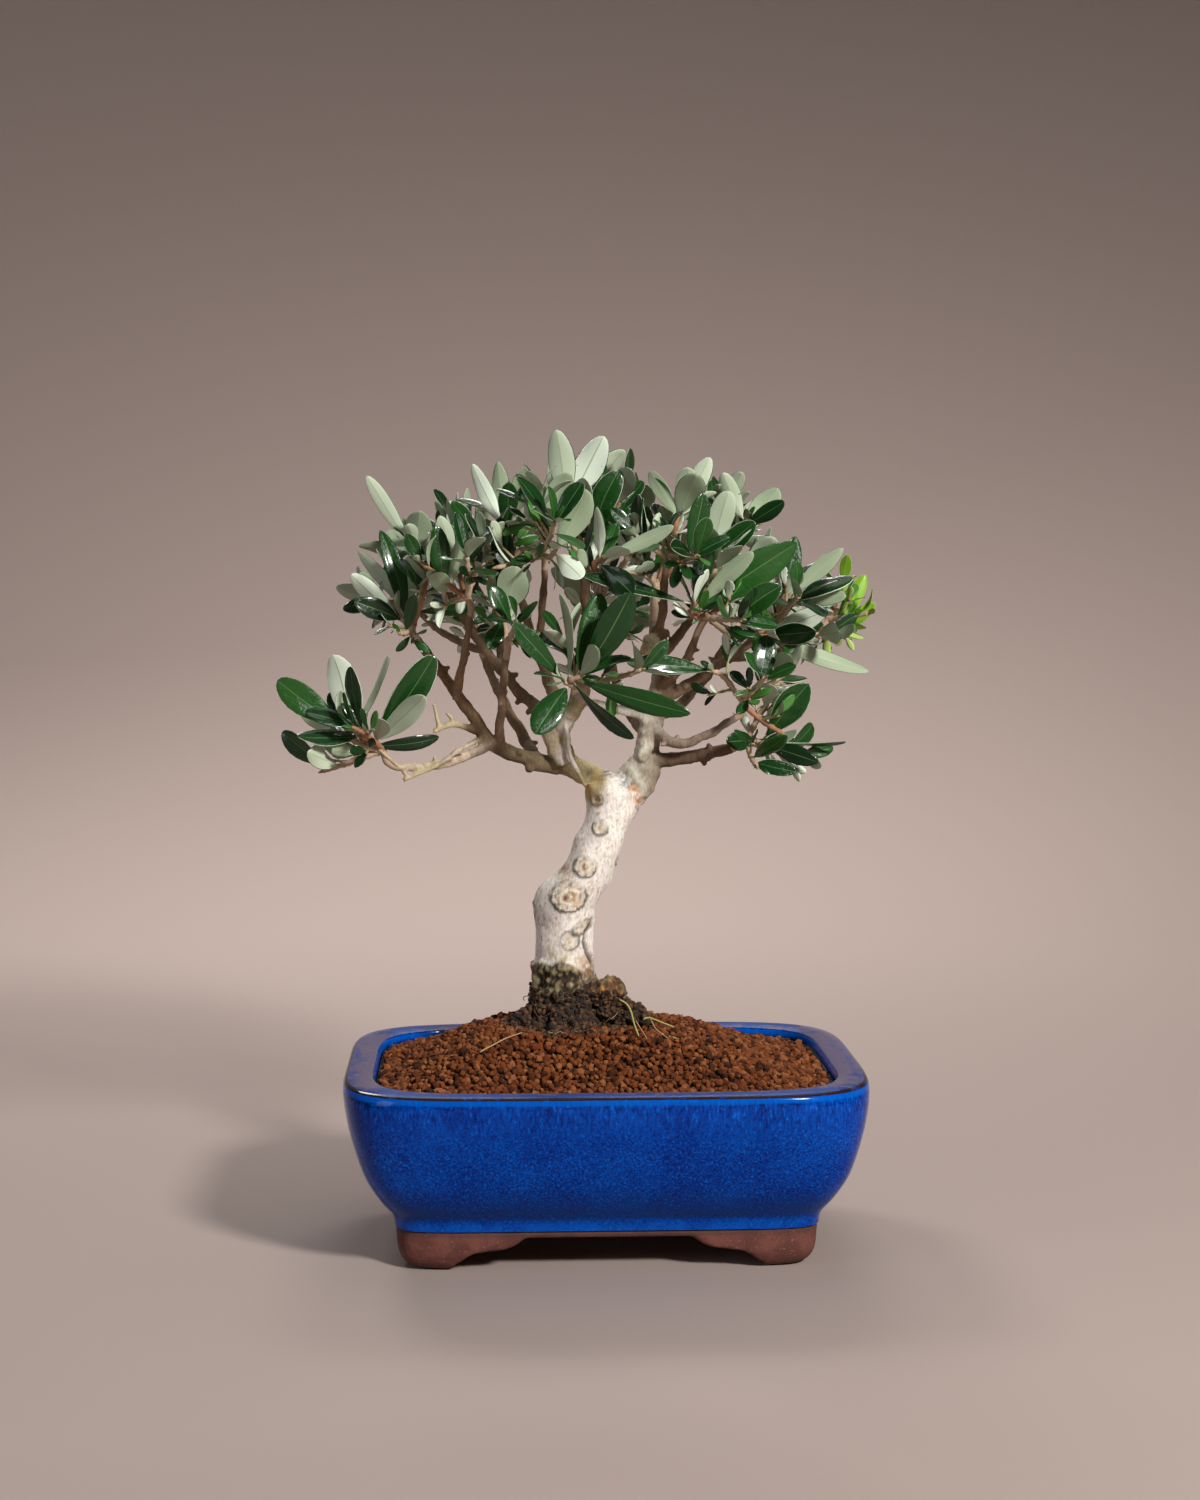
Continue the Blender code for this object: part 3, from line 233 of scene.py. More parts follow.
# The masses of foliage
Mass = namedtuple("Mass", "name limb centre reach shoots leaf")
MASSES = (
    Mass("low_left_spray", "low_left_arm", (-96.0, -22.0, 209.0), (30.0, 26.0, 27.0), 3, 26.0),
    Mass("left_pad", "left_rise", (-75.0, -10.0, 249.0), (23.0, 26.0, 26.0), 3, 22.0),
    Mass("left_front", "left_front_limb", (-55.0, -36.0, 262.0), (26.0, 25.0, 25.0), 4, 23.0),
    Mass("left_inner", "left_inner_limb", (-37.0, -34.0, 244.0), (24.0, 24.0, 22.0), 2, 20.0),
    Mass("centre_low", "left_fork", (-9.0, -38.0, 226.0), (35.0, 28.0, 28.0), 2, 27.0),
    Mass("centre_front", "centre_front_limb", (3.0, -42.0, 268.0), (27.0, 24.0, 24.0), 3, 23.0),
    Mass("right_centre", "right_rise", (44.0, -36.0, 256.0), (32.0, 26.0, 26.0), 3, 26.0),
    Mass("right_mid_low", "right_curve", (57.0, -18.0, 221.0), (26.0, 25.0, 21.0), 3, 23.0),
    Mass("right_low", "right_arm", (65.0, -18.0, 202.0), (31.0, 25.0, 24.0), 3, 24.0),
    Mass("right_pad", "right_out_limb", (75.0, -14.0, 249.0), (29.0, 27.0, 26.0), 3, 24.0),
    Mass("right_tip", "right_far_limb", (93.0, 7.0, 247.0), (17.0, 24.0, 22.0), 3, 19.0),
    Mass("top_centre", "centre_rise", (-9.0, 0.0, 291.0), (27.0, 27.0, 27.0), 4, 27.0),
    Mass("front_left_top", "front_left_limb", (-26.0, -36.0, 277.0), (27.0, 25.0, 26.0), 4, 24.0),
    Mass("top_left", "left_crown_limb", (-39.0, 6.0, 283.0), (27.0, 26.0, 26.0), 4, 24.0),
    Mass("left_top_pad", "left_back_limb", (-71.0, 8.0, 272.0), (27.0, 27.0, 27.0), 4, 24.0),
    Mass("top_right_centre", "right_fork", (24.0, 2.0, 283.0), (27.0, 27.0, 27.0), 4, 24.0),
    Mass("front_right_top", "front_right_limb", (25.0, -36.0, 278.0), (26.0, 25.0, 25.0), 3, 24.0),
    Mass("right_top", "right_top_limb", (56.0, 4.0, 277.0), (28.0, 28.0, 27.0), 3, 22.0),
    Mass("back_left", "back_left_limb", (-51.0, 46.0, 244.0), (29.0, 27.0, 26.0), 4, 25.0),
    Mass("back_centre", "back_centre_limb", (1.0, 52.0, 249.0), (29.0, 26.0, 27.0), 4, 26.0),
    Mass("back_right", "back_right_limb", (57.0, 46.0, 245.0), (29.0, 27.0, 26.0), 4, 25.0),
    Mass("back_left_top", "back_left_top_limb", (-39.0, 42.0, 274.0), (27.0, 26.0, 25.0), 4, 25.0),
    Mass("back_top", "back_top_limb", (4.0, 42.0, 282.0), (27.0, 26.0, 26.0), 4, 26.0),
    Mass("back_right_top", "back_right_top_limb", (47.0, 42.0, 273.0), (27.0, 26.0, 25.0), 4, 25.0),
    Mass("far_left_back", "far_left_back_limb", (-81.0, 34.0, 256.0), (25.0, 25.0, 24.0), 3, 23.0),
)
# Leading leaves: mass, foot of the rosette, then (length, clock, lean, width, roll) for each leaf
TOP, UNDER = 12.0, 168.0
LEADING = (
    ("low_left_spray", (-98, -27, 202),
     ((32, 144, 5, 11.5, TOP), (30, 101, -10, 12.5, UNDER), (34, 65, 7, 8, 110))),
    ("low_left_spray", (-93, -26, 199), ((27, 179, 30, 8, 40), (34, 114, -24, 8, UNDER))),
    ("low_left_spray", (-87, -24, 197),
     ((41, 55, 15, 12.5, TOP), (33, 43, 33, 9.5, UNDER), (26, 6, -8, 6, TOP))),
    ("left_pad", (-78, -10, 243), ((26, 137, 9, 8, UNDER), (23, 157, 30, 9, TOP), (37, 105, -3, 8, TOP))),
    ("left_pad", (-73, -6, 247), ((34, 108, -19, 12, UNDER), (26, 6, 27, 6, 30), (36, 132, -22, 6, UNDER))),
    ("left_top_pad", (-73, 4, 269), ((35, 122, -7, 6.5, UNDER), (19, 83, 27, 11, UNDER))),
    ("left_front", (-61, -32, 254), ((25, 96, 9, 8, TOP), (24, 71, 15, 6.5, UNDER), (15, 110, 50, 8, UNDER))),
    ("left_inner", (-39, -32, 246),
     ((19, 73, 20, 13.5, UNDER), (37, 92, -6, 9, TOP), (15, -116, 30, 7, TOP))),
    ("centre_low", (-16, -38, 220), ((32, 132, 18, 8, TOP), (34, 95, 10, 8, 115), (25, -126, 26, 11.5, TOP))),
    ("centre_low", (-10, -40, 222),
     ((38, 60, 13, 13, TOP), (33, 74, -8, 11, TOP), (46, -16, 15, 9, TOP), (34, -43, 26, 7, 45))),
    ("centre_front", (-2, -40, 266), ((30, 24, 12, 6, UNDER), (20, 95, 7, 7, 130), (20, -42, 28, 10, TOP))),
    ("right_centre", (33, -32, 249),
     ((44, 165, 10, 8, 45), (29, 79, 8, 8, TOP), (33, 46, 24, 7, UNDER), (47, 34, 6, 14.5, TOP))),
    ("right_mid_low", (41, -24, 223), ((36, 173, 16, 8, TOP),)),
    ("right_low", (62, -14, 196), ((29, 54, 16, 12.5, TOP), (33, -1, 7, 7, 80))),
    ("right_low", (60, -15, 195), ((25, -18, 24, 7.5, TOP), (17, 178, 42, 8, TOP))),
    ("right_pad", (71, -12, 252), ((28, 41, 8, 7, UNDER), (25, 2, 28, 8, UNDER), (25, 80, -5, 8, TOP))),
    ("right_pad", (63, -16, 236), ((25, 25, 23, 9, UNDER), (26, 8, 46, 9, TOP), (44, -19, -3, 7, UNDER))),
    ("right_tip", (93, 6, 238), ((17, 65, 7, 6, TOP), (20, 38, 18, 6, TOP), (27, 60, -4, 7, UNDER))),
    ("top_centre", (-14, -6, 287), ((29, 98, 8, 11, UNDER), (31, 62, 0, 13, UNDER), (23, 50, 55, 11, UNDER))),
    ("front_left_top", (-19, -36, 269),
     ((26, 63, 14, 11.5, UNDER), (17, -43, 36, 9, UNDER), (25, 118, 4, 8, 60))),
    ("top_left", (-38, 0, 278), ((28, 116, -8, 7, UNDER), (23, 86, 34, 8, TOP), (29, 96, -11, 8, UNDER))),
    ("top_right_centre", (30, 0, 284),
     ((19, 80, 20, 8.5, UNDER), (26, 62, -4, 8, UNDER), (22, 122, 11, 6.5, UNDER))),
    ("right_top", (42, -8, 266), ((27, 77, 9, 10, UNDER), (24, 43, 25, 9, TOP))),
    ("right_top", (56, 0, 280), ((22, 116, 12, 8, UNDER), (20, 33, 30, 7, TOP), (21, 48, -4, 11, UNDER))),
)
LEAD_NUDGE = 1.6  # degrees that each further try may turn a leading leaf
# The rule for rosettes and for the pairs of leaves on their shoots
GOLDEN_ANGLE = 2.39996
ROSETTE_POLAR = (0.1, 1.45)  # a rosette's angle off the mass's axis, in radians
ROSETTE_TURN = 1.2  # how far it may stray from its turn round the axis
ROSETTE_DISTANCE = (0.12, 0.55)  # its distance from the hub, as a share of the mass's reach
LEAF_TURN = 0.4  # how far a leaf may stray from its turn round the shoot
LEAF_SPREADS = (78.0, 32.0)  # degrees off the shoot, at its foot and at its tip
SPREAD_VARIES = 12.0
LEAF_RISE = 0.12
LEAF_SIZES = (1.12, 0.78)  # shares of the mass's leaf length, at the shoot's foot and at its tip
LENGTH_VARIES = (0.72, 1.08)
WIDTH_SHARES = (0.33, 0.46)  # width as a share of length
FACE_ALONG_SHOOT = 0.9  # a leaf's upper side turns to the shoot's tip
FACE_UP = 0.45  # and to the sky
FACE_VARIES = 0.3
LEAF_CLEARANCE = 0.4
SHOOT_CLEARANCE = 0.6
NODES_PER_SHOOT = 3  # pairs of leaves on a shoot
NODE_STEP = 2.8
TRIES = 7
CANDIDATES = 7
STEM_ROOT_SHARE = 0.95  # the stem's radius where it meets its limb's tip, as a share of the tip's
STEM_RADIUS = 1.44  # at the hub
FORK_FROM = 0.7  # twigs leave the stem from this share of its length on
TWIG_ROOT_RADIUS = 1.26
TWIG_RADIUS = 1.15
SHOOT_RADIUS = 0.95
STALK_START = 0.15  # a leaf starts this far out from its shoot's middle, sunk in the shoot
STALK_HALF = 0.45
LEAF_BELOW = 0.25
LEAF_ABOVE = 0.6
PLAIN_WIDTHS = ((0.55, 0.97),)  # (share of the length, share of the width) along a leaf's side
FINE_WIDTHS = ((0.42, 0.96), (0.76, 0.86))
FINE_FROM = 9.0  # leading leaves this wide have two widths along each side
LEAD_FIRST = 0.6  # how far below the shoot's tip its first leading leaf starts
LEAD_STEP = 1.2  # how far apart a rosette's leading leaves start
LEAD_SHOOT = 5.0  # length of the shoot that carries leading leaves
HUB_SHARES = (0.38, 0.3, 0.46, 0.24, 0.55)  # how far the stem goes towards the mass's middle
BLADE_FROM = 0.15  # leaves of one mass keep apart from this share of their length on
CROWN_HEART = (-1.0, 2.0, 222.0)  # the crown grows outwards from here
Twig = namedtuple("Twig", "line radii")
Leaf = namedtuple("Leaf", "base along face length width fine")
Solid = namedtuple("Solid", "owner centre reach tree")

# Finer growth, in the looks alone: side shoots of the twigs, and small leaves at the shoots' tips
FINER_SHOOTS = 2
FINER_SHARE = (0.3, 0.95)  # where they leave the twig, as a share of its way to the rosette
FINER_LENGTH = (4.5, 9.0)
FINER_RADII = (0.62, 0.45)
FINER_SPREAD = (0.5, 1.2)  # radians off the twig
FINER_LEAF = (0.45, 0.68)  # their leaves' size as a share of the mass's
TIP_LEAF = (0.32, 0.5)

# The skin of a leaf: rows along it, and places across it with their height over the middle sheet
PETIOLE = 0.09
PETIOLE_STRIPS = 2
BLADE_ROWS = (0.0, 0.05, 0.14, 0.27, 0.41, 0.55, 0.69, 0.82, 0.92, 0.975, 1.0)
LEAF_COLUMNS = (
    (-1.0, 0.0),
    (-0.95, 0.13),
    (-0.5, 0.22),
    (-0.035, 0.08),
    (0.035, 0.08),
    (0.5, 0.22),
    (0.95, 0.13),
    (1.0, 0.0),
    (0.95, -0.13),
    (0.5, -0.17),
    (0.05, -0.34),
    (-0.05, -0.34),
    (-0.5, -0.17),
    (-0.95, -0.13),
)
# Which part each strip between two columns is: 0 top, 1 underside, 2 top rib, 3 underside rib, 4 margin
STRIP_PARTS = (4, 0, 0, 2, 0, 0, 4, 4, 1, 1, 3, 1, 1, 4)
# The same for a small leaf, which has fewer faces
SMALL_ROWS = (0.0, 0.1, 0.28, 0.5, 0.72, 0.89, 0.97, 1.0)
SMALL_COLUMNS = (
    (-1.0, 0.0),
    (-0.5, 0.2),
    (0.0, 0.08),
    (0.5, 0.2),
    (1.0, 0.0),
    (0.5, -0.17),
    (0.06, -0.32),
    (-0.06, -0.32),
    (-0.5, -0.17),
)
SMALL_PARTS = (0, 0, 0, 0, 1, 1, 3, 1, 1)
LEAF_SEEDS = (5, 6)  # of the large leaves and the small ones
YOUNG_SHOOTS = 0.4  # the share of small leaves that are paler, as young ones are
TOP_KINDS = (0, 0, 1, 1, 2, 3)
UNDER_KINDS = (4, 4, 5, 5, 6)
YOUNG_FROM = 88.0  # leaves right of this on the right tip are young and bright green
# What varies from leaf to leaf, each between two ends
LEAF_VARIES = {
    "widest": (1.12, 1.55),
    "fullness": (0.46, 0.62),
    "fold": (0.05, 0.30),
    "crease": (-0.02, 0.10),
    "curl": (0.02, 0.22),
    "wave": (0.0, 0.12),
    "wave rate": (4.0, 9.0),
    "wave start": (0.0, 6.3),
    "twist": (-0.32, 0.32),
    "arch": (0.01, 0.075),
    "tip bend": (-0.05, 0.05),
    "bow": (-0.035, 0.035),
}
FULL_THICKNESS = 24.0  # leaves this long have the full thickness
STALK_THICKNESS = 1.7  # a stalk's, as a share of the blade's
STEM_SUNK = 1.6
TWIG_STEP = 1.1
STEM_SIDES = 10
TWIG_SIDES = 7
BUD_SIDES = 6
BUD_PLACES = (-0.4, 0.8, 1.9)
BUD_RADII = (0.7, 0.62, 0.16)
BUD_KIND = 4
KNOT_STEP = 3.4
KNOT_SIZES = (0.9, 0.38)  # a twig's breadth between its knots, and what a knot adds, as shares
STEM_KINDS = (0, 1, 1)
TWIG_KINDS = (1, 2, 2, 3)
SHOOT_KINDS = (3, 5, 5)
TWIG_TONES = (
    (0.34, 0.26, 0.19),
    (0.40, 0.28, 0.19),
    (0.30, 0.145, 0.07),
    (0.48, 0.34, 0.22),
    (0.28, 0.20, 0.09),
    (0.30, 0.30, 0.13),
)
TOP_TONES = ((0.004, 0.032, 0.005), (0.008, 0.049, 0.007), (0.013, 0.073, 0.009), (0.002, 0.018, 0.003))
UNDERSIDE_TONES = ((0.44, 0.52, 0.38), (0.29, 0.37, 0.24), (0.60, 0.68, 0.56))
YOUNG_TONES = ((0.045, 0.16, 0.020), (0.20, 0.42, 0.02), (0.36, 0.50, 0.12))
RIB_TONES = ((0.36, 0.40, 0.25), (0.055, 0.13, 0.035))
GRAIN_TONES = (
    (0.140, 0.039, 0.010),
    (0.172, 0.051, 0.014),
    (0.092, 0.024, 0.006),
    (0.240, 0.083, 0.027),
    (0.152, 0.039, 0.008),
    (0.045, 0.012, 0.004),
)
GRAINS_FROM = 19.0  # how far from the trunk's foot the loose grains start
# The layers of grains: name, seeds of the places and the shapes, spacing, depth
GRAIN_LAYERS = (
    ("soil_grains", 11, 21, GRAIN_SPACING, 1.0),
    ("lower_grains", 12, 22, GRAIN_SPACING * 1.12, 2.6),
)
GRAIN_DENTS = (0.74, 1.20)
GRAIN_STRETCH = (0.72, 1.12)
GRAIN_JITTER = 0.28  # as a share of the spacing
GRAIN_RISE = (-1.0, 0.7)
HONEYCOMB = 0.866  # how far apart the rows of a honeycomb lie, as a share of the spacing
WALL_SHARE = 0.975  # the grains end at this share of the way to the pot's wall
EARTH_SUNK = 2.6
EARTH_TONE = (0.022, 0.011, 0.006)
EARTH_RINGS = 19
PEAT_TONES = ((0.030, 0.015, 0.008), (0.016, 0.008, 0.005), (0.060, 0.030, 0.014), (0.105, 0.048, 0.020))
PEAT_CRUMBS = 2600
PEAT_TOP = 99.0
PEAT_AROUND = (17.0, 27.0)  # how far from the trunk's foot peat lies on the soil
PEAT_LOW = 1.25  # a power that puts more peat low on the flare
PEAT_CLING = (-0.3, 0.6)  # how far peat stands out of the bark
PEAT_RADIUS = (0.55, 1.3)
PEAT_SEED = 31
ON_SOIL = 0.22  # the share of peat and hair roots that lies on the soil, not on the flare
FIBRES = 70
FIBRE_RADIUS = (0.10, 0.19)
FIBRE_LENGTH = (4.0, 11.0)
FIBRE_BOW = (0.6, 2.0)
FIBRE_KINDS = (0, 0, 1)
FIBRE_TONES = ((0.10, 0.055, 0.028), (0.30, 0.22, 0.11))
CLAY_GRAIN = 1.1

# Bark
BARK_GRAIN = 0.66
ROOT_SUNK = 6.0  # how far the trunk's foot goes on down into the loose grains
BARK_SIDES = 16
STUB_SIDES = 12
KNOB_SIDES = 8
KNOB_SPACING = 13.0
KNOB_RISE = (0.6, 2.6)
KNOB_RADII = (0.7, 0.42)  # as shares of the limb's radius
WAVER_FADE = (6.0, 4.0)  # a tube's waver fades out over these lengths, at its start and its end
SWAY_SEED = 1  # without a seed Blender's vector noise starts from the clock
SWAY_RATE = 0.11
SWELL_RATE = 0.35
# How far a tube sways aside, the share by which it swells, and the length of its steps
LIMB_WAVER = (0.9, 0.22, 1.5)
STUB_WAVER = (0.4, 0.2, 1.2)
BURL_WAVER = (1.0, 0.5, 1.5)
ROOTLET_WAVER = (0.6, 0.2, 1.2)
STEM_WAVER = (0.5, 0.2, 1.2)
TRUNK_TOP = 188.0
TRUNK_REACH = 30.0
# Size and seed of the bark's four noises: rough, fine, grit and lumps
BARK_NOISES = ((8.0, 0.0), ((1.6, 1.6, 4.5), 40.0), ((1.1, 1.1, 1.6), 80.0), (3.2, 120.0))
# Patches on the trunk: size and seed, gain and what is taken off, share, tone
TRUNK_PATCHES = (
    ((7.0, 200.0), (1.4, 0.2), 0.30, (0.50, 0.37, 0.24)),
    ((9.0, 260.0), (1.6, 0.25), 0.35, (0.44, 0.44, 0.30)),
    ((1.3, 330.0), (4.0, 1.3), 0.55, (0.34, 0.18, 0.08)),
)
TONE_ROUNDS = 4  # how often the limbs' tones are evened out where they meet
TONE_LIMITS = (0.004, 0.85)
# Dark crust and moss cover the trunk below these heights: (x, height)
CRUST_EDGE = ((-26.0, 109.0), (-16.0, 110.5), (-10.5, 108.5), (-6.6, 103.5), (-3.5, 104.0), (0.0, 107.0))
CRUST_GREY = 99.0
CRUST_TONE = (0.026, 0.018, 0.010)
BURL_PLACE = (2.0, -11.0, 98.5)
BURL_REACH = (7.0, 7.0, 4.5)
LIMB_TONES = {
    "trunk": ((0.76, 0.715, 0.67), (0.74, 0.70, 0.655)),
    "left_fork": ((0.46, 0.40, 0.23), (0.27, 0.215, 0.115)),
    "left_arm": ((0.34, 0.28, 0.14), (0.13, 0.094, 0.05)),
    "left_rise": ((0.13, 0.088, 0.045), (0.16, 0.095, 0.05)),
    "right_fork": ((0.50, 0.48, 0.40), (0.34, 0.30, 0.24)),
    "right_arm": ((0.42, 0.39, 0.31), (0.11, 0.070, 0.042)),
    "right_curve": ((0.33, 0.29, 0.24), (0.26, 0.20, 0.15)),
    "low_left_arm": ((0.36, 0.29, 0.21), (0.46, 0.37, 0.28)),
}
PLAIN_LIMB_TONES = ((0.22, 0.155, 0.10), (0.20, 0.13, 0.08))
FORKS = ("left_fork", "right_fork")
FORK_SPREAD = 3.6  # how far the right fork's foot swells outwards
FORK_SPREAD_AT = 184.0
FORK_SPREAD_OVER = 8.0
ARM_TURN = 0.3  # an arm has its outer colour from this share of its length on
TONE_FROM = 0.17  # the trunk's pale bark runs up a fork to this share of its length
DEAD_TONE = (0.58, 0.53, 0.47)
STUB_TONE = (0.42, 0.35, 0.22)
STUB_TONE_FROM = 0.6  # stubs and dead wood have their own colour from this share of their length on
TRUNK_STUBS = 4  # the first stubs belong to the trunk's head and keep its pale bark
STUBS = (
    (((1.0, -1.0, 176.0), (0.2, -5.0, 182.6)), 4.6, 3.6),
    (((6.0, -2.0, 175.0), (7.2, -6.4, 179.8)), 4.2, 3.2),
    (((-2.5, -2.0, 174.0), (-4.9, -5.6, 180.4)), 3.4, 2.4),
    (((8.0, -0.5, 171.0), (15.0, -0.8, 178.5), (17.6, 0.0, 186.0), (17.8, 0.5, 193.0)), 6.4, 4.4),
    (((-15.5, -7.0, 187.0), (-18.0, -8.5, 194.0), (-21.0, -9.0, 201.6)), 4.6, 4.1),
    (((18.3, 0.0, 227.0), (18.8, -6.5, 235.0)), 4.0, 3.4),
    (((-48.0, -9.5, 199.0), (-57.7, -12.0, 202.4), (-65.5, -14.0, 199.6)), 1.5, 1.0),
    (((-63.0, -13.5, 200.5), (-65.4, -14.0, 210.4)), 1.0, 0.75),
    (((-56.0, -11.8, 201.5), (-60.6, -13.0, 207.0)), 1.0, 0.75),
    (((-47.9, -12.0, 196.5), (-55.7, -16.0, 192.9), (-63.5, -18.0, 187.2), (-77.0, -20.0, 181.5)), 1.15, 0.8),
    (((-75.0, -20.0, 182.5), (-78.9, -20.0, 187.4)), 0.8, 0.65),
    (((-78.0, -21.0, 186.0), (-87.4, -24.0, 195.5)), 0.9, 0.7),
)
DEAD_WOOD = (
    (
        (
            (-6.8, -7.4, 178.0),
            (-10.2, -11.4, 184.2),
            (-12.8, -14.6, 190.1),
            (-13.9, -15.6, 196.3),
            (-15.4, -15.0, 203.8),
        ),
        1.0,
        0.85,
    ),
    (((17.3, 0.0, 201.3), (14.4, -2.0, 205.3), (4.8, -6.0, 207.9), (-10.4, -12.0, 211.5)), 2.4, 1.6),
)
ROOT_BURL = (
    (((-8.0, -9.0, 96.0), (-1.0, -12.0, 99.0), (6.0, -9.0, 99.5)), 4.6, 4.2),
    (((-1.0, -10.0, 93.0), (9.0, -9.0, 90.0), (17.0, -9.0, 86.0)), 4.6, 2.4),
    (((-19.0, -6.0, 94.0), (-28.0, -7.0, 88.0), (-36.0, -8.0, 83.0)), 3.8, 1.8),
    (((-15.0, -9.0, 94.0), (-17.0, -15.0, 87.0), (-19.0, -21.0, 82.0)), 3.8, 1.8),
    (((-11.0, 9.0, 94.0), (-9.0, 18.0, 87.0)), 4.6, 2.6),
)
# Old pruning scars: centre, radius, how strongly ringed, and how much wider than high
RING_SCARS = (
    ((-13.6, -11.6, 135.3), 5.1, 1.0, 1.18),
    ((-7.3, -10.6, 146.8), 3.5, 0.85, 1.10),
    ((-13.1, -12.3, 118.3), 3.2, 0.30, 0.95),
    ((-8.2, -11.3, 123.2), 1.9, 0.80, 1.90),
    ((-1.4, -9.6, 161.9), 2.4, 0.50, 1.0),
    ((-2.5, -8.6, 172.6), 1.9, 0.70, 1.0),
    ((-25.8, 0.0, 129.0), 3.2, 0.5, 1.0),
    ((6.6, -4.0, 148.3), 2.4, 0.5, 0.8),
    ((-2.0, 9.5, 156.0), 4.0, 0.8, 1.1),
    ((-17.0, 11.5, 122.0), 4.6, 0.8, 1.2),
)
SCAR_SHADE_BREADTH = 0.55  # the least breadth of a scar's dark outline of painted shade
SCAR_TILT = 0.6  # radians that the wide scars lean up to the right, for each width more than round
SCAR_DEPTH = 6.0  # a scar this far in front of the middle, or behind it, is round in the front view
SCAR_REACH = 1.9  # how far a scar's marks reach, in radii
SCAR_RIM = (0.22, 0.55)  # breadth of the rim in radii, and how far it stands out
SCAR_RINGS = (2.1, 0.45)  # rings to a radius, and their depth
SCAR_HEART = (0.40, 0.9)  # size of the core in radii, and its depth
SCAR_CREAM = (0.56, 0.47, 0.30)
SCAR_RUST = (0.42, 0.22, 0.08)
SCAR_PALE = (0.68, 0.64, 0.56)
SCAR_SPECK = (0.13, 0.11, 0.05)
SCAR_PAINTED_SHADE = (0.085, 0.07, 0.035)
SCAR_RING = (0.20, 0.125, 0.06)
SCAR_CORE = (0.16, 0.065, 0.045)
# Small patches of rust, moss and dead bark, and one painted highlight: place, radius, tone
TONE_SPOTS = (
    ((1.2, -6.0, 183.2), 1.9, (0.10, 0.08, 0.055)),
    ((4.5, -6.0, 183.6), 1.9, (0.10, 0.085, 0.06)),
    ((8.6, -6.5, 181.8), 1.9, (0.09, 0.075, 0.06)),
    ((-4.9, -6.6, 182.8), 1.6, (0.09, 0.07, 0.04)),
    ((10.4, -6.5, 178.2), 1.4, (0.13, 0.075, 0.04)),
    ((11.7, -6.0, 176.2), 1.7, (0.42, 0.19, 0.07)),
    ((13.3, -5.5, 173.2), 1.7, (0.38, 0.17, 0.06)),
    ((15.0, -4.5, 170.8), 1.8, (0.42, 0.18, 0.06)),
    ((15.9, -3.5, 173.0), 1.2, (0.11, 0.06, 0.03)),
    # Painted highlight: a bluish sheen at the lower end of the right fork's rusty collar
    ((13.4, -5.5, 168.6), 1.2, (0.20, 0.23, 0.28)),
    ((13.9, -5.0, 165.6), 1.7, (0.34, 0.20, 0.09)),
    ((-5.9, -8.0, 175.6), 2.2, (0.42, 0.24, 0.08)),
    ((-2.4, -7.0, 181.0), 2.0, (0.38, 0.26, 0.10)),
    ((8.4, -7.0, 179.2), 1.5, (0.20, 0.23, 0.28)),
    ((-2.6, -8.0, 172.2), 1.7, (0.34, 0.24, 0.12)),
    ((-6.1, -10.0, 107.6), 2.4, (0.40, 0.21, 0.11)),
    ((-3.6, -8.5, 105.0), 3.0, (0.20, 0.11, 0.055)),
    ((-7.2, -9.5, 104.4), 2.6, (0.22, 0.12, 0.06)),
    ((-4.6, -8.5, 101.6), 2.8, (0.10, 0.055, 0.03)),
    ((-4.6, -9.0, 110.8), 2.0, (0.34, 0.24, 0.16)),
    ((-9.4, -11.0, 110.2), 2.0, (0.44, 0.31, 0.16)),
    ((-14.4, -12.0, 111.8), 2.2, (0.40, 0.36, 0.20)),
    ((-20.0, -10.0, 112.0), 2.2, (0.40, 0.35, 0.20)),
    ((-15.4, -5.0, 144.6), 2.4, (0.30, 0.18, 0.10)),
    ((-34.1, -14.0, 233.6), 3.0, (0.34, 0.15, 0.06)),
    ((-54.7, -9.0, 220.4), 3.4, (0.34, 0.15, 0.06)),
    ((-21.2, -9.2, 202.2), 3.8, (0.50, 0.43, 0.33)),
)
# The dark crack down the trunk, in the front view
CRACK = ((-4.4, 125.0), (-6.8, 121.2), (-7.4, 117.5), (-5.7, 111.4), (-1.9, 105.0))
CRACK_TONE = (0.05, 0.035, 0.02)
CRACK_HALF = 0.75
CRACK_DEPTH = 1.3
# Bare roots and straw that lie on the soil: points and radius
ROOTLET_TONES = ((0.38, 0.33, 0.09), (0.42, 0.28, 0.13))
STRAW_RADIUS = 0.3  # thinner ones are straw
ROOTLETS = (
    (((5.9, -14.0, 95.4), (9.1, -16.0, 93.4), (11.6, -22.0, 86.9), (13.6, -28.0, 81.0)), 0.42),
    (((15.0, -18.0, 88.0), (17.4, -18.0, 88.9), (26.8, -18.0, 85.2)), 0.38),
    (((21.2, -24.0, 83.9), (28.2, -24.0, 81.6)), 0.34),
    (((-48.0, -36.0, 79.6), (-38.8, -30.0, 83.6), (-32.0, -25.0, 84.8)), 0.26),
    (((18.0, -16.0, 88.0), (20.0, -22.0, 85.0), (24.0, -27.0, 82.4)), 0.24),
    (((12.0, -19.0, 88.0), (16.0, -27.0, 82.2)), 0.22),
)

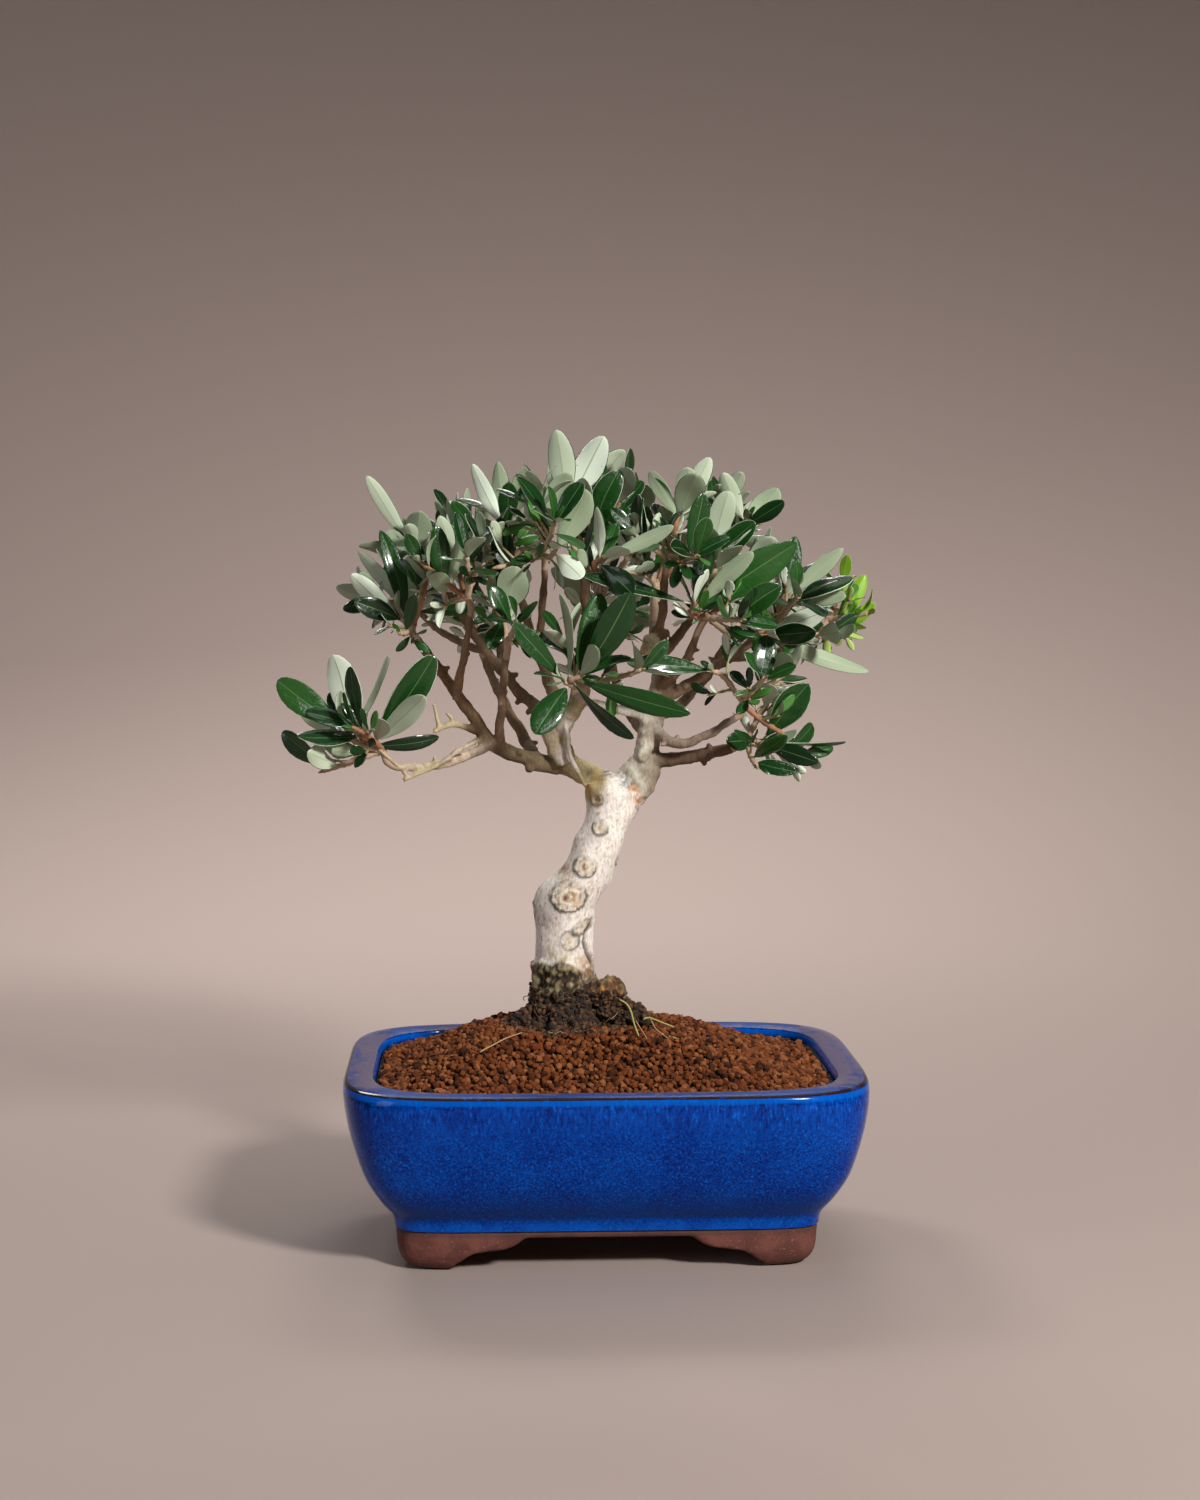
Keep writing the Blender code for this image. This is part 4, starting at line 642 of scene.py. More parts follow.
# Stage
FLAT_RADIUS = 0.9
SWEEP_RADIUS = 1.5
WALL_HEIGHT = 0.9
SWEEP_ROWS = 24
STAGE_SIDES = 96
FLOOR_TONE = (0.34, 0.275, 0.25)
WORLD_TONE = (1.0, 0.97, 0.95)
WORLD_STRENGTH = 0.07
PLANT = (0.0, 0.0, 0.0)
LAMPS = (
    ("key", (0.66, -1.00, 0.67), PLANT, 0.22, 24.0, (1.0, 0.97, 0.93)),
    ("fill", (-1.05, -0.70, 0.40), PLANT, 0.5, 2.0, (0.88, 0.93, 1.0)),
    ("top", (0.1, 0.25, 1.45), PLANT, 0.9, 3.2, (1.0, 0.98, 0.96)),
    ("rim", (-0.45, 0.95, 0.75), PLANT, 0.4, 6.0, (1.0, 0.98, 0.95)),
    ("wall", (0.1, 0.95, 0.75), (0.0, 1.25, -0.16), 0.5, 9.0, (1.0, 0.95, 0.92)),
)
LAMPS_MIDDLE = (0.0, 0.0, 0.16)
LENS = 59.57
SENSOR_WIDTH = 36.0
CAMERA_PLACE = (-0.04425, -0.96480, 0.26340)
CAMERA_WAY = (0.04472, 0.99622, -0.07443)


def unit(vector):
    return vector / max(float(np.linalg.norm(vector)), 1e-9)


def across(axis, hint=(0.0, 0.0, 1.0)):
    """Two unit vectors across an axis, right-handed with it."""
    side = np.cross(hint, axis)
    if np.linalg.norm(side) < 0.2:
        side = np.cross((0.0, 1.0, 0.0), axis)
    side = unit(side)
    return side, np.cross(axis, side)


def aside_of(axis, turn):
    """A unit vector across an axis at a turn round it."""
    side, up = across(axis)
    return side * math.cos(turn) + up * math.sin(turn)


def bowed_line(start, end, bow, count):
    """Points of a parabola from start to end that passes bow away from the chord's middle."""
    start, end, bow = (np.array(v, float) for v in (start, end, bow))
    shares = np.linspace(0.0, 1.0, count + 1)[:, None]
    return start + shares * (end - start) + 4.0 * shares * (1.0 - shares) * bow


def leading_line(start, heading, end, count, straight=1.0):
    """A curve that leaves start squarely along the heading and bends over to the end."""
    lead = start + heading * straight
    knee = lead + heading * 0.4 * np.linalg.norm(end - lead)
    shares = np.linspace(0.0, 1.0, count + 1)[:, None]
    curve = (1 - shares) ** 2 * lead + 2 * shares * (1 - shares) * knee + shares**2 * end
    return np.vstack([start, curve])


def point_at(line, share):
    """The point at a share of a polyline's length."""
    steps = np.linalg.norm(np.diff(line, axis=0), axis=1)
    reached = np.concatenate([[0.0], np.cumsum(steps)])
    return np.array([np.interp(share * reached[-1], reached, line[:, k]) for k in range(3)])


def smooth_rows(rows, step):
    """Rows of numbers read from a Catmull-Rom curve through the given rows, about step apart."""
    rows = np.array(rows, float)
    padded = np.vstack([2 * rows[0] - rows[1], rows, 2 * rows[-1] - rows[-2]])
    made = []
    for k in range(1, len(padded) - 2):
        a, b, c, d = padded[k - 1 : k + 3]
        count = max(1, round(float(np.linalg.norm((c - b)[:3])) / step))
        for share in np.arange(count) / count:
            slope = (c - a) * share
            bend = (2 * a - 5 * b + 4 * c - d) * share**2
            twist = (3 * b - a - 3 * c + d) * share**3
            made.append(0.5 * (2 * b + slope + bend + twist))
    made.append(rows[-1])
    return np.array(made)


def loft(rings):
    """Vertices and faces of a closed skin over rings of equal count, with a flat cap at each end."""
    count = len(rings[0])
    vertices = [tuple(p) for ring in rings for p in ring]
    faces = [tuple(range(count))[::-1]]
    for k in range(len(rings) - 1):
        for i in range(count):
            j = (i + 1) % count
            faces.append((k * count + i, k * count + j, (k + 1) * count + j, (k + 1) * count + i))
    last = (len(rings) - 1) * count
    faces.append(tuple(range(last, last + count)))
    return vertices, faces


def tube_rings(line, radii, sides, grown=0.0):
    """Rings round a line, each across the direction the line takes there, grown by a clearance."""
    line = np.array(line, float)
    line[0] -= grown * unit(line[1] - line[0])
    line[-1] += grown * unit(line[-1] - line[-2])
    radii = np.array(radii) + grown
    headings = [unit(v) for v in np.gradient(line, axis=0)]
    side, up = across(headings[0])
    rings = []
    for point, heading, radius in zip(line, headings, radii):
        side = unit(side - heading * side.dot(heading))
        up = np.cross(heading, side)
        turns = np.arange(sides) / sides * math.tau
        rings.append(point + radius * (np.outer(np.cos(turns), side) + np.outer(np.sin(turns), up)))
    return rings


def mound_height(share):
    """Height of the soil at a share of the way from the trunk to the pot's wall."""
    slope = min(max((share - PLATEAU_SHARE) / (1.0 - PLATEAU_SHARE), 0.0), 1.0)
    return GROUND - (GROUND - SOIL_AT_RIM) * slope * slope * (3.0 - 2.0 * slope)


def trunk_rings(grown=0.0, step=TRUNK_RING_STEP, sides=TRUNK_SIDES):
    """Rings up the trunk with its root ridges and scars, grown outwards by a clearance."""
    rows = smooth_rows(TRUNK_LINE, step)
    rings = tube_rings(rows[:, :3], rows[:, 3], sides)
    for row, ring in zip(rows, rings):
        middle, radius = row[:3], row[3]
        low = max(0.0, 1.0 - (row[2] - GROUND) / ROOT_HEIGHT)
        for k, point in enumerate(ring):
            out = unit(point - middle)
            turn = math.atan2(out[1], out[0])
            reach = radius * (1.0 + ROOT_RIDGE * low * math.cos(ROOTS * turn + 0.6)) + grown
            for height, compass, size, stands in SCARS:
                angle = math.radians(compass)
                centre = np.array([math.cos(angle), math.sin(angle), 0.0])
                apart = np.linalg.norm([radius * np.linalg.norm(out[:2] - centre[:2]), row[2] - height])
                reach += stands * math.exp(-((apart / size) ** 2))
            ring[k] = middle + out * reach
    rings[0][:, 2] = GROUND + GAP - grown
    rings[-1] += grown * unit(rows[-1, :3] - rows[-2, :3])
    return rings


def limb_lines():
    """{name: (line, radii)} of the trunk and each limb."""
    rows = smooth_rows(TRUNK_LINE, TRUNK_RING_STEP)
    found = {"trunk": (rows[:, :3], rows[:, 3])}
    for limb in LIMBS:
        start = point_at(found[limb.parent][0], limb.share)
        line = bowed_line(start, limb.tip, limb.bow, LIMB_SEGMENTS)
        found[limb.name] = (line, np.linspace(limb.thick, limb.thin, len(line)))
    return found


def test_solid(owner, vertices, faces):
    """What the touch test needs of a shape: its owner, its bounding sphere and its tree of faces."""
    points = np.array(vertices)
    centre = (points.min(0) + points.max(0)) / 2
    reach = float(np.linalg.norm(points - centre, axis=1).max())
    return Solid(owner, tuple(centre), reach, BVHTree.FromPolygons([tuple(p) for p in points], faces))


def touches(solid, others, spare=None):
    """Whether a shape's surface crosses another's, sparing what its owner's name leaves out."""
    for other in others:
        if math.dist(solid.centre, other.centre) < solid.reach + other.reach and other.owner != spare:
            if solid.tree.overlap(other.tree):
                return True
    return False


def leaf_rim(leaf, first=0.0, grown=0.0):
    """The outline of a leaf's underside, which rises evenly from the stalk to the tip, and the
    top of its stalk. It can start at a share of the length, and be grown by a clearance."""
    side = np.cross(leaf.face, leaf.along)
    half = 0.5 * leaf.width
    widths = FINE_WIDTHS if leaf.fine else PLAIN_WIDTHS
    root_half = STALK_HALF + (half * widths[0][1] - STALK_HALF) * first / widths[0][0]
    root = leaf.base + leaf.along * max(STALK_START, leaf.length * first)

    def low(share, aside):
        sunk = leaf.face * LEAF_BELOW * (1.0 - share)
        return leaf.base + leaf.along * leaf.length * share + side * aside - sunk

    rim = [root - side * (root_half + grown) - leaf.face * LEAF_BELOW]
    rim += [root + side * (root_half + grown) - leaf.face * LEAF_BELOW]
    rim += [low(share, half * width + grown) for share, width in widths]
    rim += [low(1.0 + grown / leaf.length, 0.0)]
    rim += [low(share, -half * width - grown) for share, width in reversed(widths)]
    return rim, root + leaf.face * LEAF_ABOVE * (1.0 - first)


def leaf_solid(leaf):
    """A leaf of few faces: flat below, ridged above from its sunk stalk to its tip."""
    rim, ridge = leaf_rim(leaf)
    count = len(rim)
    faces = [tuple(range(count))]
    faces += [((k + 1) % count, k, count) for k in range(count)]
    return [*rim, ridge], faces


def leaf_space(leaf, first, grown):
    """The space that a leaf takes, with a clearance all round, from a share of its length on."""
    rim, ridge = leaf_rim(leaf, first, grown)
    count = len(rim)
    below = [point - leaf.face * grown for point in rim]
    above = [point + leaf.face * grown for point in rim]
    faces = [tuple(range(count))]
    faces += [((k + 1) % count, k, count + k, count + (k + 1) % count) for k in range(count)]
    faces += [(count + (k + 1) % count, count + k, 2 * count) for k in range(count)]
    return [*below, *above, ridge + leaf.face * grown], faces


def twig_solid(twig, sides=3, grown=0.0):
    return loft(tube_rings(twig.line, twig.radii, sides, grown))


class Growth:
    """One mass as it grows: its stem, twigs and leaves, and what they must keep clear of."""

    def __init__(self, mass, standing, feet):
        self.mass = mass
        self.draw = random.Random(mass.name)
        self.standing = standing
        self.feet = feet
        self.own = []
        self.twigs = []
        self.leaves = []
        self.stem = None

    def inside(self, points):
        apart = (np.atleast_2d(points) - self.mass.centre) / np.array(self.mass.reach)
        return bool((apart**2).sum(1).max() <= 1.0)

    def grow_stem(self, line, radii):
        """The stem goes on squarely from the limb's tip and bends over to the mass's hub."""
        heading = unit(line[-1] - line[-2])
        start = line[-1] + heading * GAP
        to_centre = np.array(self.mass.centre) - start
        others = [solid for solid in self.standing if solid.owner not in (self.mass.limb, self.mass.name)]
        for share in HUB_SHARES:
            self.hub = start + to_centre * share
            stem_line = leading_line(start, heading, self.hub, 2)
            self.stem = Twig(stem_line, np.linspace(radii[-1] * STEM_ROOT_SHARE, STEM_RADIUS, len(stem_line)))
            if not touches(test_solid("stem", *twig_solid(self.stem, 6, SHOOT_CLEARANCE)), others):
                break
        self.axis = unit(unit(to_centre) + unit(np.array(self.mass.centre) - CROWN_HEART))
        self.standing.append(test_solid(self.mass.name, *twig_solid(self.stem)))

    def add_twig(self, foot, heading, length, strict):
        """A twig from the stem to a rosette's foot, and on as the shoot. None where it can't go."""
        fork = point_at(self.stem.line, self.draw.uniform(FORK_FROM, 1.0))
        line = np.array([fork, foot, foot + heading * length])
        twig = Twig(line, [TWIG_ROOT_RADIUS, TWIG_RADIUS, SHOOT_RADIUS])
        owner = f"{self.mass.name} {len(self.twigs)}"
        shoot = Twig(line[1:], twig.radii[1:])
        if touches(test_solid(owner, *twig_solid(twig, 4, SHOOT_CLEARANCE)), self.standing, self.mass.name):
            return None
        if strict and touches(test_solid(owner, *twig_solid(shoot, 4, SHOOT_CLEARANCE)), self.own):
            return None
        self.twigs.append(twig)
        self.own.append(test_solid(owner, *twig_solid(twig)))
        self.standing.append(test_solid(self.mass.name, *twig_solid(twig)))
        self.feet.append(foot)
        return owner

    def add_leaf(self, leaf, owner, leads=False):
        """Keeps a leaf if it is in the mass's space and clear of limbs, twigs and other leaves."""
        whole = leaf_space(leaf, 0.0, LEAF_CLEARANCE)
        if not (leads or self.inside(whole[0])):
            return False
        if touches(test_solid(owner, *whole), self.standing, self.mass.name):
            return False
        blade = leaf_space(leaf, BLADE_FROM, 0.5 * LEAF_CLEARANCE)
        if not leads and touches(test_solid(owner, *blade), self.own, owner):
            return False
        self.leaves.append(leaf)
        self.own.append(test_solid("", *leaf_space(leaf, BLADE_FROM, 0.0)))
        self.standing.append(test_solid(self.mass.name, *leaf_solid(leaf)))
        return True

    def lead_rosette(self, foot, leads):
        """A rosette of leading leaves, nudged by a few degrees where two would meet."""
        foot = np.array(foot, float)
        ways = [lead_way(clock, lean) for _, clock, lean, _, _ in leads]
        heading = unit(np.sum(ways, axis=0) + unit(foot - self.stem.line[-1]))
        owner = self.add_twig(foot - heading * LEAD_SHOOT, heading, LEAD_SHOOT, strict=False)
        for k, (length, clock, lean, width, roll) in enumerate(leads if owner else ()):
            base = foot - heading * (LEAD_FIRST + LEAD_STEP * k)
            for trial in range(TRIES):
                nudge = LEAD_NUDGE * trial
                turned_clock = clock + self.draw.uniform(-nudge, nudge)
                way = lead_way(turned_clock, lean + self.draw.uniform(-nudge, nudge))
                front = np.array([0.0, -1.0, 0.0])
                front = unit(front - way * front.dot(way))
                rolled = math.radians(roll)
                face = front * math.cos(rolled) + np.cross(way, front) * math.sin(rolled)
                leaf = Leaf(base, way, face, float(length), float(width), width >= FINE_FROM)
                if self.add_leaf(leaf, owner, leads=True):
                    break
        return owner, foot, heading

    def seeded_rosette(self, k):
        """A rosette placed by the rule, as far from the others as its few candidates allow."""
        best = None
        for _ in range(CANDIDATES):
            polar = self.draw.uniform(*ROSETTE_POLAR)
            turn = k * GOLDEN_ANGLE + self.draw.uniform(-ROSETTE_TURN, ROSETTE_TURN)
            out = unit(self.axis * math.cos(polar) + aside_of(self.axis, turn) * math.sin(polar))
            room = 1.0 / np.linalg.norm(out / np.array(self.mass.reach))
            foot = self.hub + out * room * self.draw.uniform(*ROSETTE_DISTANCE)
            apart = min((np.linalg.norm(foot - other) for other in self.feet), default=99.0)
            if best is None or apart > best[0]:
                best = (apart, foot, unit(out + 0.25 * self.axis))
        _, foot, heading = best
        length = NODE_STEP * NODES_PER_SHOOT
        owner = self.add_twig(foot, heading, length, strict=True)
        return owner, foot + heading * length, heading

    def add_pair(self, base, heading, turn, rank, size, owner):
        """Two leaves across from each other, each tried a few times."""
        for half in (0.0, math.pi):
            for _ in range(TRIES):
                leaf_turn = turn + half + self.draw.uniform(-LEAF_TURN, LEAF_TURN)
                if self.add_leaf(draw_leaf(self.draw, base, heading, leaf_turn, rank, size), owner):
                    break

    def fill_rosette(self, owner, tip, heading, pairs):
        """Pairs of leaves below the shoot's tip, each a quarter turn from the last."""
        first_turn = self.draw.uniform(0.0, math.pi)
        for node in range(pairs):
            base = tip - heading * NODE_STEP * (pairs - node - 0.6)
            turn = first_turn + node * math.pi / 2
            self.add_pair(base, heading, turn, (node + 1) / pairs, self.mass.leaf, owner)

    def grow_leading(self, line, radii):
        self.grow_stem(line, radii)
        leading = [row for row in LEADING if row[0] == self.mass.name]
        self.led = [self.lead_rosette(foot, leads) for _, foot, leads in leading]

    def grow_rest(self):
        for owner, foot, heading in self.led:
            if owner:
                self.fill_rosette(owner, foot, heading, 1)
        for k in range(self.mass.shoots):
            for _ in range(TRIES):
                owner, tip, heading = self.seeded_rosette(k)
                if owner:
                    self.fill_rosette(owner, tip, heading, NODES_PER_SHOOT)
                    break

    def finer_shoot(self, twig, parent):
        """A side shoot from a twig with a pair of smaller leaves. False where there is no room."""
        fork, foot, _ = twig.line
        start = fork + (foot - fork) * self.draw.uniform(*FINER_SHARE)
        ahead = unit(foot - fork)
        turn = self.draw.uniform(0.0, math.tau)
        spread = self.draw.uniform(*FINER_SPREAD)
        heading = unit(ahead * math.cos(spread) + aside_of(ahead, turn) * math.sin(spread))
        length = self.draw.uniform(*FINER_LENGTH)
        shoot = Twig(np.array([start, start + heading * length]), list(FINER_RADII))
        owner = f"{self.mass.name} finer {len(self.fine)}"
        clear = test_solid(owner, *twig_solid(shoot, 4, GAP))
        if not self.inside(shoot.line[1]) or touches(clear, self.standing, self.mass.name):
            return False
        if touches(clear, self.own, parent):
            return False
        self.own.append(test_solid(owner, *twig_solid(shoot)))
        grown = len(self.leaves)
        self.fill_finer(shoot.line[1], heading, owner, FINER_LEAF, 2)
        if len(self.leaves) == grown:
            self.own.pop()
            return False
        self.fine.append(shoot)
        self.standing.append(test_solid(self.mass.name, *twig_solid(shoot)))
        return True

    def fill_finer(self, tip, heading, owner, sizes, pairs):
        """Pairs of smaller leaves at a shoot's tip."""
        first_turn = self.draw.uniform(0.0, math.pi)
        for node in range(pairs):
            base = tip - heading * (0.5 + 2.2 * node)
            size = self.mass.leaf * self.draw.uniform(*sizes)
            turn = first_turn + node * math.pi / 2
            self.add_pair(base, heading, turn, 1.0 - 0.35 * node, size, owner)

    def grow_finer(self):
        """Carries the mass on to side shoots and small tip leaves in the room that is left."""
        self.coarse = len(self.leaves)
        self.fine = []
        for k, twig in enumerate(self.twigs):
            owner = f"{self.mass.name} {k}"
            tip = twig.line[-1]
            self.fill_finer(tip, unit(tip - twig.line[-2]), owner, TIP_LEAF, 1)
            for _ in range(FINER_SHOOTS):
                for _ in range(TRIES):
                    if self.finer_shoot(twig, owner):
                        break


def lead_way(clock, lean):
    """The direction of a leaf from its clock angle in the front view and its lean to the front."""
    clock, lean = math.radians(clock), math.radians(lean)
    return np.array([math.cos(clock) * math.cos(lean), -math.sin(lean), math.sin(clock) * math.cos(lean)])


def draw_leaf(draw, base, axis, turn, rank, size):
    """One leaf of a pair. Rank runs up to 1 at the shoot's tip, where the leaves stand closer."""
    side, up = across(axis)
    out = side * math.cos(turn) + up * math.sin(turn)
    low_spread, tip_spread = LEAF_SPREADS
    spread = low_spread + (tip_spread - low_spread) * rank + draw.uniform(-SPREAD_VARIES, SPREAD_VARIES)
    spread = math.radians(spread)
    along = unit(axis * math.cos(spread) + out * math.sin(spread) + np.array([0.0, 0.0, LEAF_RISE]))
    low_size, tip_size = LEAF_SIZES
    length = size * (low_size + (tip_size - low_size) * rank) * draw.uniform(*LENGTH_VARIES)
    face = axis * FACE_ALONG_SHOOT + np.array([0.0, 0.0, FACE_UP])
    face = unit(face + side * draw.uniform(-FACE_VARIES, FACE_VARIES))
    face = unit(face - along * face.dot(along))
    return Leaf(base, along, face, length, length * draw.uniform(*WIDTH_SHARES), False)


def outline(half_width, half_depth, power, count=POT_SIDES):
    """A rounded rectangle in plan, counterclockwise, as a superellipse."""
    turns = (np.arange(count) + 0.5) / count * math.tau
    c, s = np.cos(turns), np.sin(turns)
    x = half_width * np.sign(c) * abs(c) ** (2 / power)
    y = half_depth * np.sign(s) * abs(s) ** (2 / power)
    return np.column_stack([x, y])


def pot_ring(inset, height, count=POT_SIDES):
    """The pot's outline at a height, set in from the rim's."""
    share = min(max(height / POT_HEIGHT, 0.0), 1.0)
    power = FOOT_POWER + (RIM_POWER - FOOT_POWER) * share
    flat = outline(POT_HALF_WIDTH - inset, POT_HALF_DEPTH - inset, power, count)
    return np.column_stack([flat, np.full(len(flat), height)])


class Skin:
    """Closed shapes gathered into one mesh, with the number of a material for each face."""

    def __init__(self):
        self.points, self.faces, self.kinds = [], [], []

    def add(self, points, faces, kind=0):
        start = len(self.points)
        self.points.extend(tuple(point) for point in points)
        self.faces.extend(tuple(start + i for i in face) for face in faces)
        self.kinds.extend([kind] * len(faces))


def add_piece(name, points, faces, materials, kinds=None, smooth=True):
    """An object with the given mesh, from points in millimetres round the pot."""
    mesh = bpy.data.meshes.new(name)
    mesh.from_pydata((np.asarray(points, float) * MM + POT_MIDDLE).tolist(), [], faces)
    for made in materials:
        mesh.materials.append(made)
    if kinds is not None:
        mesh.polygons.foreach_set("material_index", np.asarray(kinds, np.int32))
    if smooth:
        mesh.shade_smooth()
    obj = bpy.data.objects.new(name, mesh)
    bpy.context.scene.collection.objects.link(obj)
    return obj


def evaluated_mesh(obj):
    graph = bpy.context.evaluated_depsgraph_get()
    return bpy.data.meshes.new_from_object(obj.evaluated_get(graph))


def mesh_arrays(mesh):
    points = np.empty(len(mesh.vertices) * 3)
    mesh.vertices.foreach_get("co", points)
    edges = np.empty(len(mesh.edges) * 2, np.int32)
    mesh.edges.foreach_get("vertices", edges)
    return points.reshape(-1, 3), edges.reshape(-1, 2)


def evened(obj, size):
    """An object's shape as one even skin of squares of the given size."""
    modifier = obj.modifiers.new("even", "REMESH")
    modifier.mode = "VOXEL"
    modifier.voxel_size = size
    return evaluated_mesh(obj)


def remeshed(skin, size):
    """One even skin over shapes that run into each other."""
    mesh = bpy.data.meshes.new("rough")
    mesh.from_pydata(skin.points, [], skin.faces)
    obj = bpy.data.objects.new("rough", mesh)
    bpy.context.scene.collection.objects.link(obj)
    made = evened(obj, size)
    bpy.data.objects.remove(obj)
    return made


def neighbour_mean(values, edges):
    """The mean of each vertex's neighbours' values."""
    count = np.bincount(edges.ravel(), minlength=len(values))
    total = np.zeros_like(values)
    for k in range(values.shape[1]):
        total[:, k] = np.bincount(edges[:, 0], values[edges[:, 1], k], len(values))
        total[:, k] += np.bincount(edges[:, 1], values[edges[:, 0], k], len(values))
    return total / np.maximum(count, 1)[:, None]


def relax(points, edges, rounds):
    """Smooths a mesh, pulling in and pushing out in turn so that thin twigs keep their girth."""
    for k in range(2 * rounds):
        points = points + (neighbour_mean(points, edges) - points) * (0.6, -0.62)[k % 2]
    return points


def vertex_normals(mesh, points):
    mesh.vertices.foreach_set("co", points.ravel())
    mesh.update()
    normals = np.empty(len(points) * 3, np.float32)
    mesh.vertex_normals.foreach_get("vector", normals)
    return normals.reshape(-1, 3)


class Finish:
    """A Principled material whose nodes are added one by one."""

    def __init__(self, name, colour, roughness, **sockets):
        self.made = bpy.data.materials.new(name)
        self.made.use_nodes = True
        self.made.diffuse_color = (*colour, 1.0)
        self.tree = self.made.node_tree
        self.shader = self.tree.nodes["Principled BSDF"]
        self.set("Base Color", (*colour, 1.0))
        self.set("Roughness", roughness)
        for socket, value in sockets.items():
            self.set(socket.replace("_", " "), value)

    def set(self, socket, value):
        self.join(value, self.shader.inputs[socket])

    def join(self, value, socket):
        if isinstance(value, bpy.types.NodeSocket):
            self.tree.links.new(value, socket)
        else:
            socket.default_value = value

    def node(self, kind, output, inputs, **settings):
        made = self.tree.nodes.new(kind)
        for name, value in settings.items():
            setattr(made, name, value)
        for name, value in inputs.items():
            self.join(value, made.inputs[name])
        return made.outputs[output]

    def place(self):
        return self.node("ShaderNodeTexCoord", "Object", {})

    def stretched(self, scale):
        inputs = {"Vector": self.place(), "Scale": scale}
        return self.node("ShaderNodeMapping", 0, inputs)

    def noise(self, size, detail=2.0, roughness=0.5, stretch=None):
        """Noise whose blots are about the given size in millimetres."""
        vector = self.stretched(stretch) if stretch else self.place()
        inputs = {"Vector": vector, "Scale": 1.0 / (size * MM), "Detail": detail, "Roughness": roughness}
        return self.node("ShaderNodeTexNoise", 0, inputs)

    def ramp(self, value, low, high, start=0.0, end=1.0):
        """A value that goes from start to end as the given one goes from low to high."""
        inputs = {"Value": value, "From Min": low, "From Max": high, "To Min": start, "To Max": end}
        return self.node("ShaderNodeMapRange", 0, inputs, interpolation_type="SMOOTHSTEP")

    def mix(self, factor, first, second, blend="MIX"):
        """A colour between two, or the first changed by the second."""
        colours = [(*c, 1.0) if isinstance(c, tuple) else c for c in (first, second)]
        inputs = {0: factor, 6: colours[0], 7: colours[1]}
        return self.node("ShaderNodeMix", 2, inputs, data_type="RGBA", blend_type=blend)

    def count(self, operation, first, second=0.0):
        return self.node("ShaderNodeMath", 0, {0: first, 1: second}, operation=operation)

    def both(self, first, second):
        """A mark where two marks meet."""
        return self.count("MULTIPLY", first, second)

    def band(self, height, rise, fall):
        """A mark that rises and falls again between the given heights in millimetres."""
        low, high = (self.ramp(height, *(edge * MM for edge in edges)) for edges in (rise, fall))
        return self.both(low, high)

    def paint(self, colour, tone, share, mark):
        """The colour with a share of a tone where the mark is."""
        return self.mix(self.both(mark, share), colour, tone)

    def height(self):
        """Height above the floor in metres."""
        return self.node("ShaderNodeSeparateXYZ", "Z", {"Vector": self.place()})

    def width(self):
        """Distance from the pot's middle along its length, in metres."""
        x = self.node("ShaderNodeSeparateXYZ", "X", {"Vector": self.place()})
        return self.count("ABSOLUTE", self.count("SUBTRACT", x, float(POT_MIDDLE[0])))

    def facing_up(self):
        normal = self.node("ShaderNodeNewGeometry", "Normal", {})
        return self.node("ShaderNodeSeparateXYZ", "Z", {"Vector": normal})

    def relief(self, value, depth, strength=1.0):
        """Bump of a depth in millimetres."""
        inputs = {"Height": value, "Distance": depth * MM, "Strength": strength}
        self.set("Normal", self.node("ShaderNodeBump", 0, inputs))


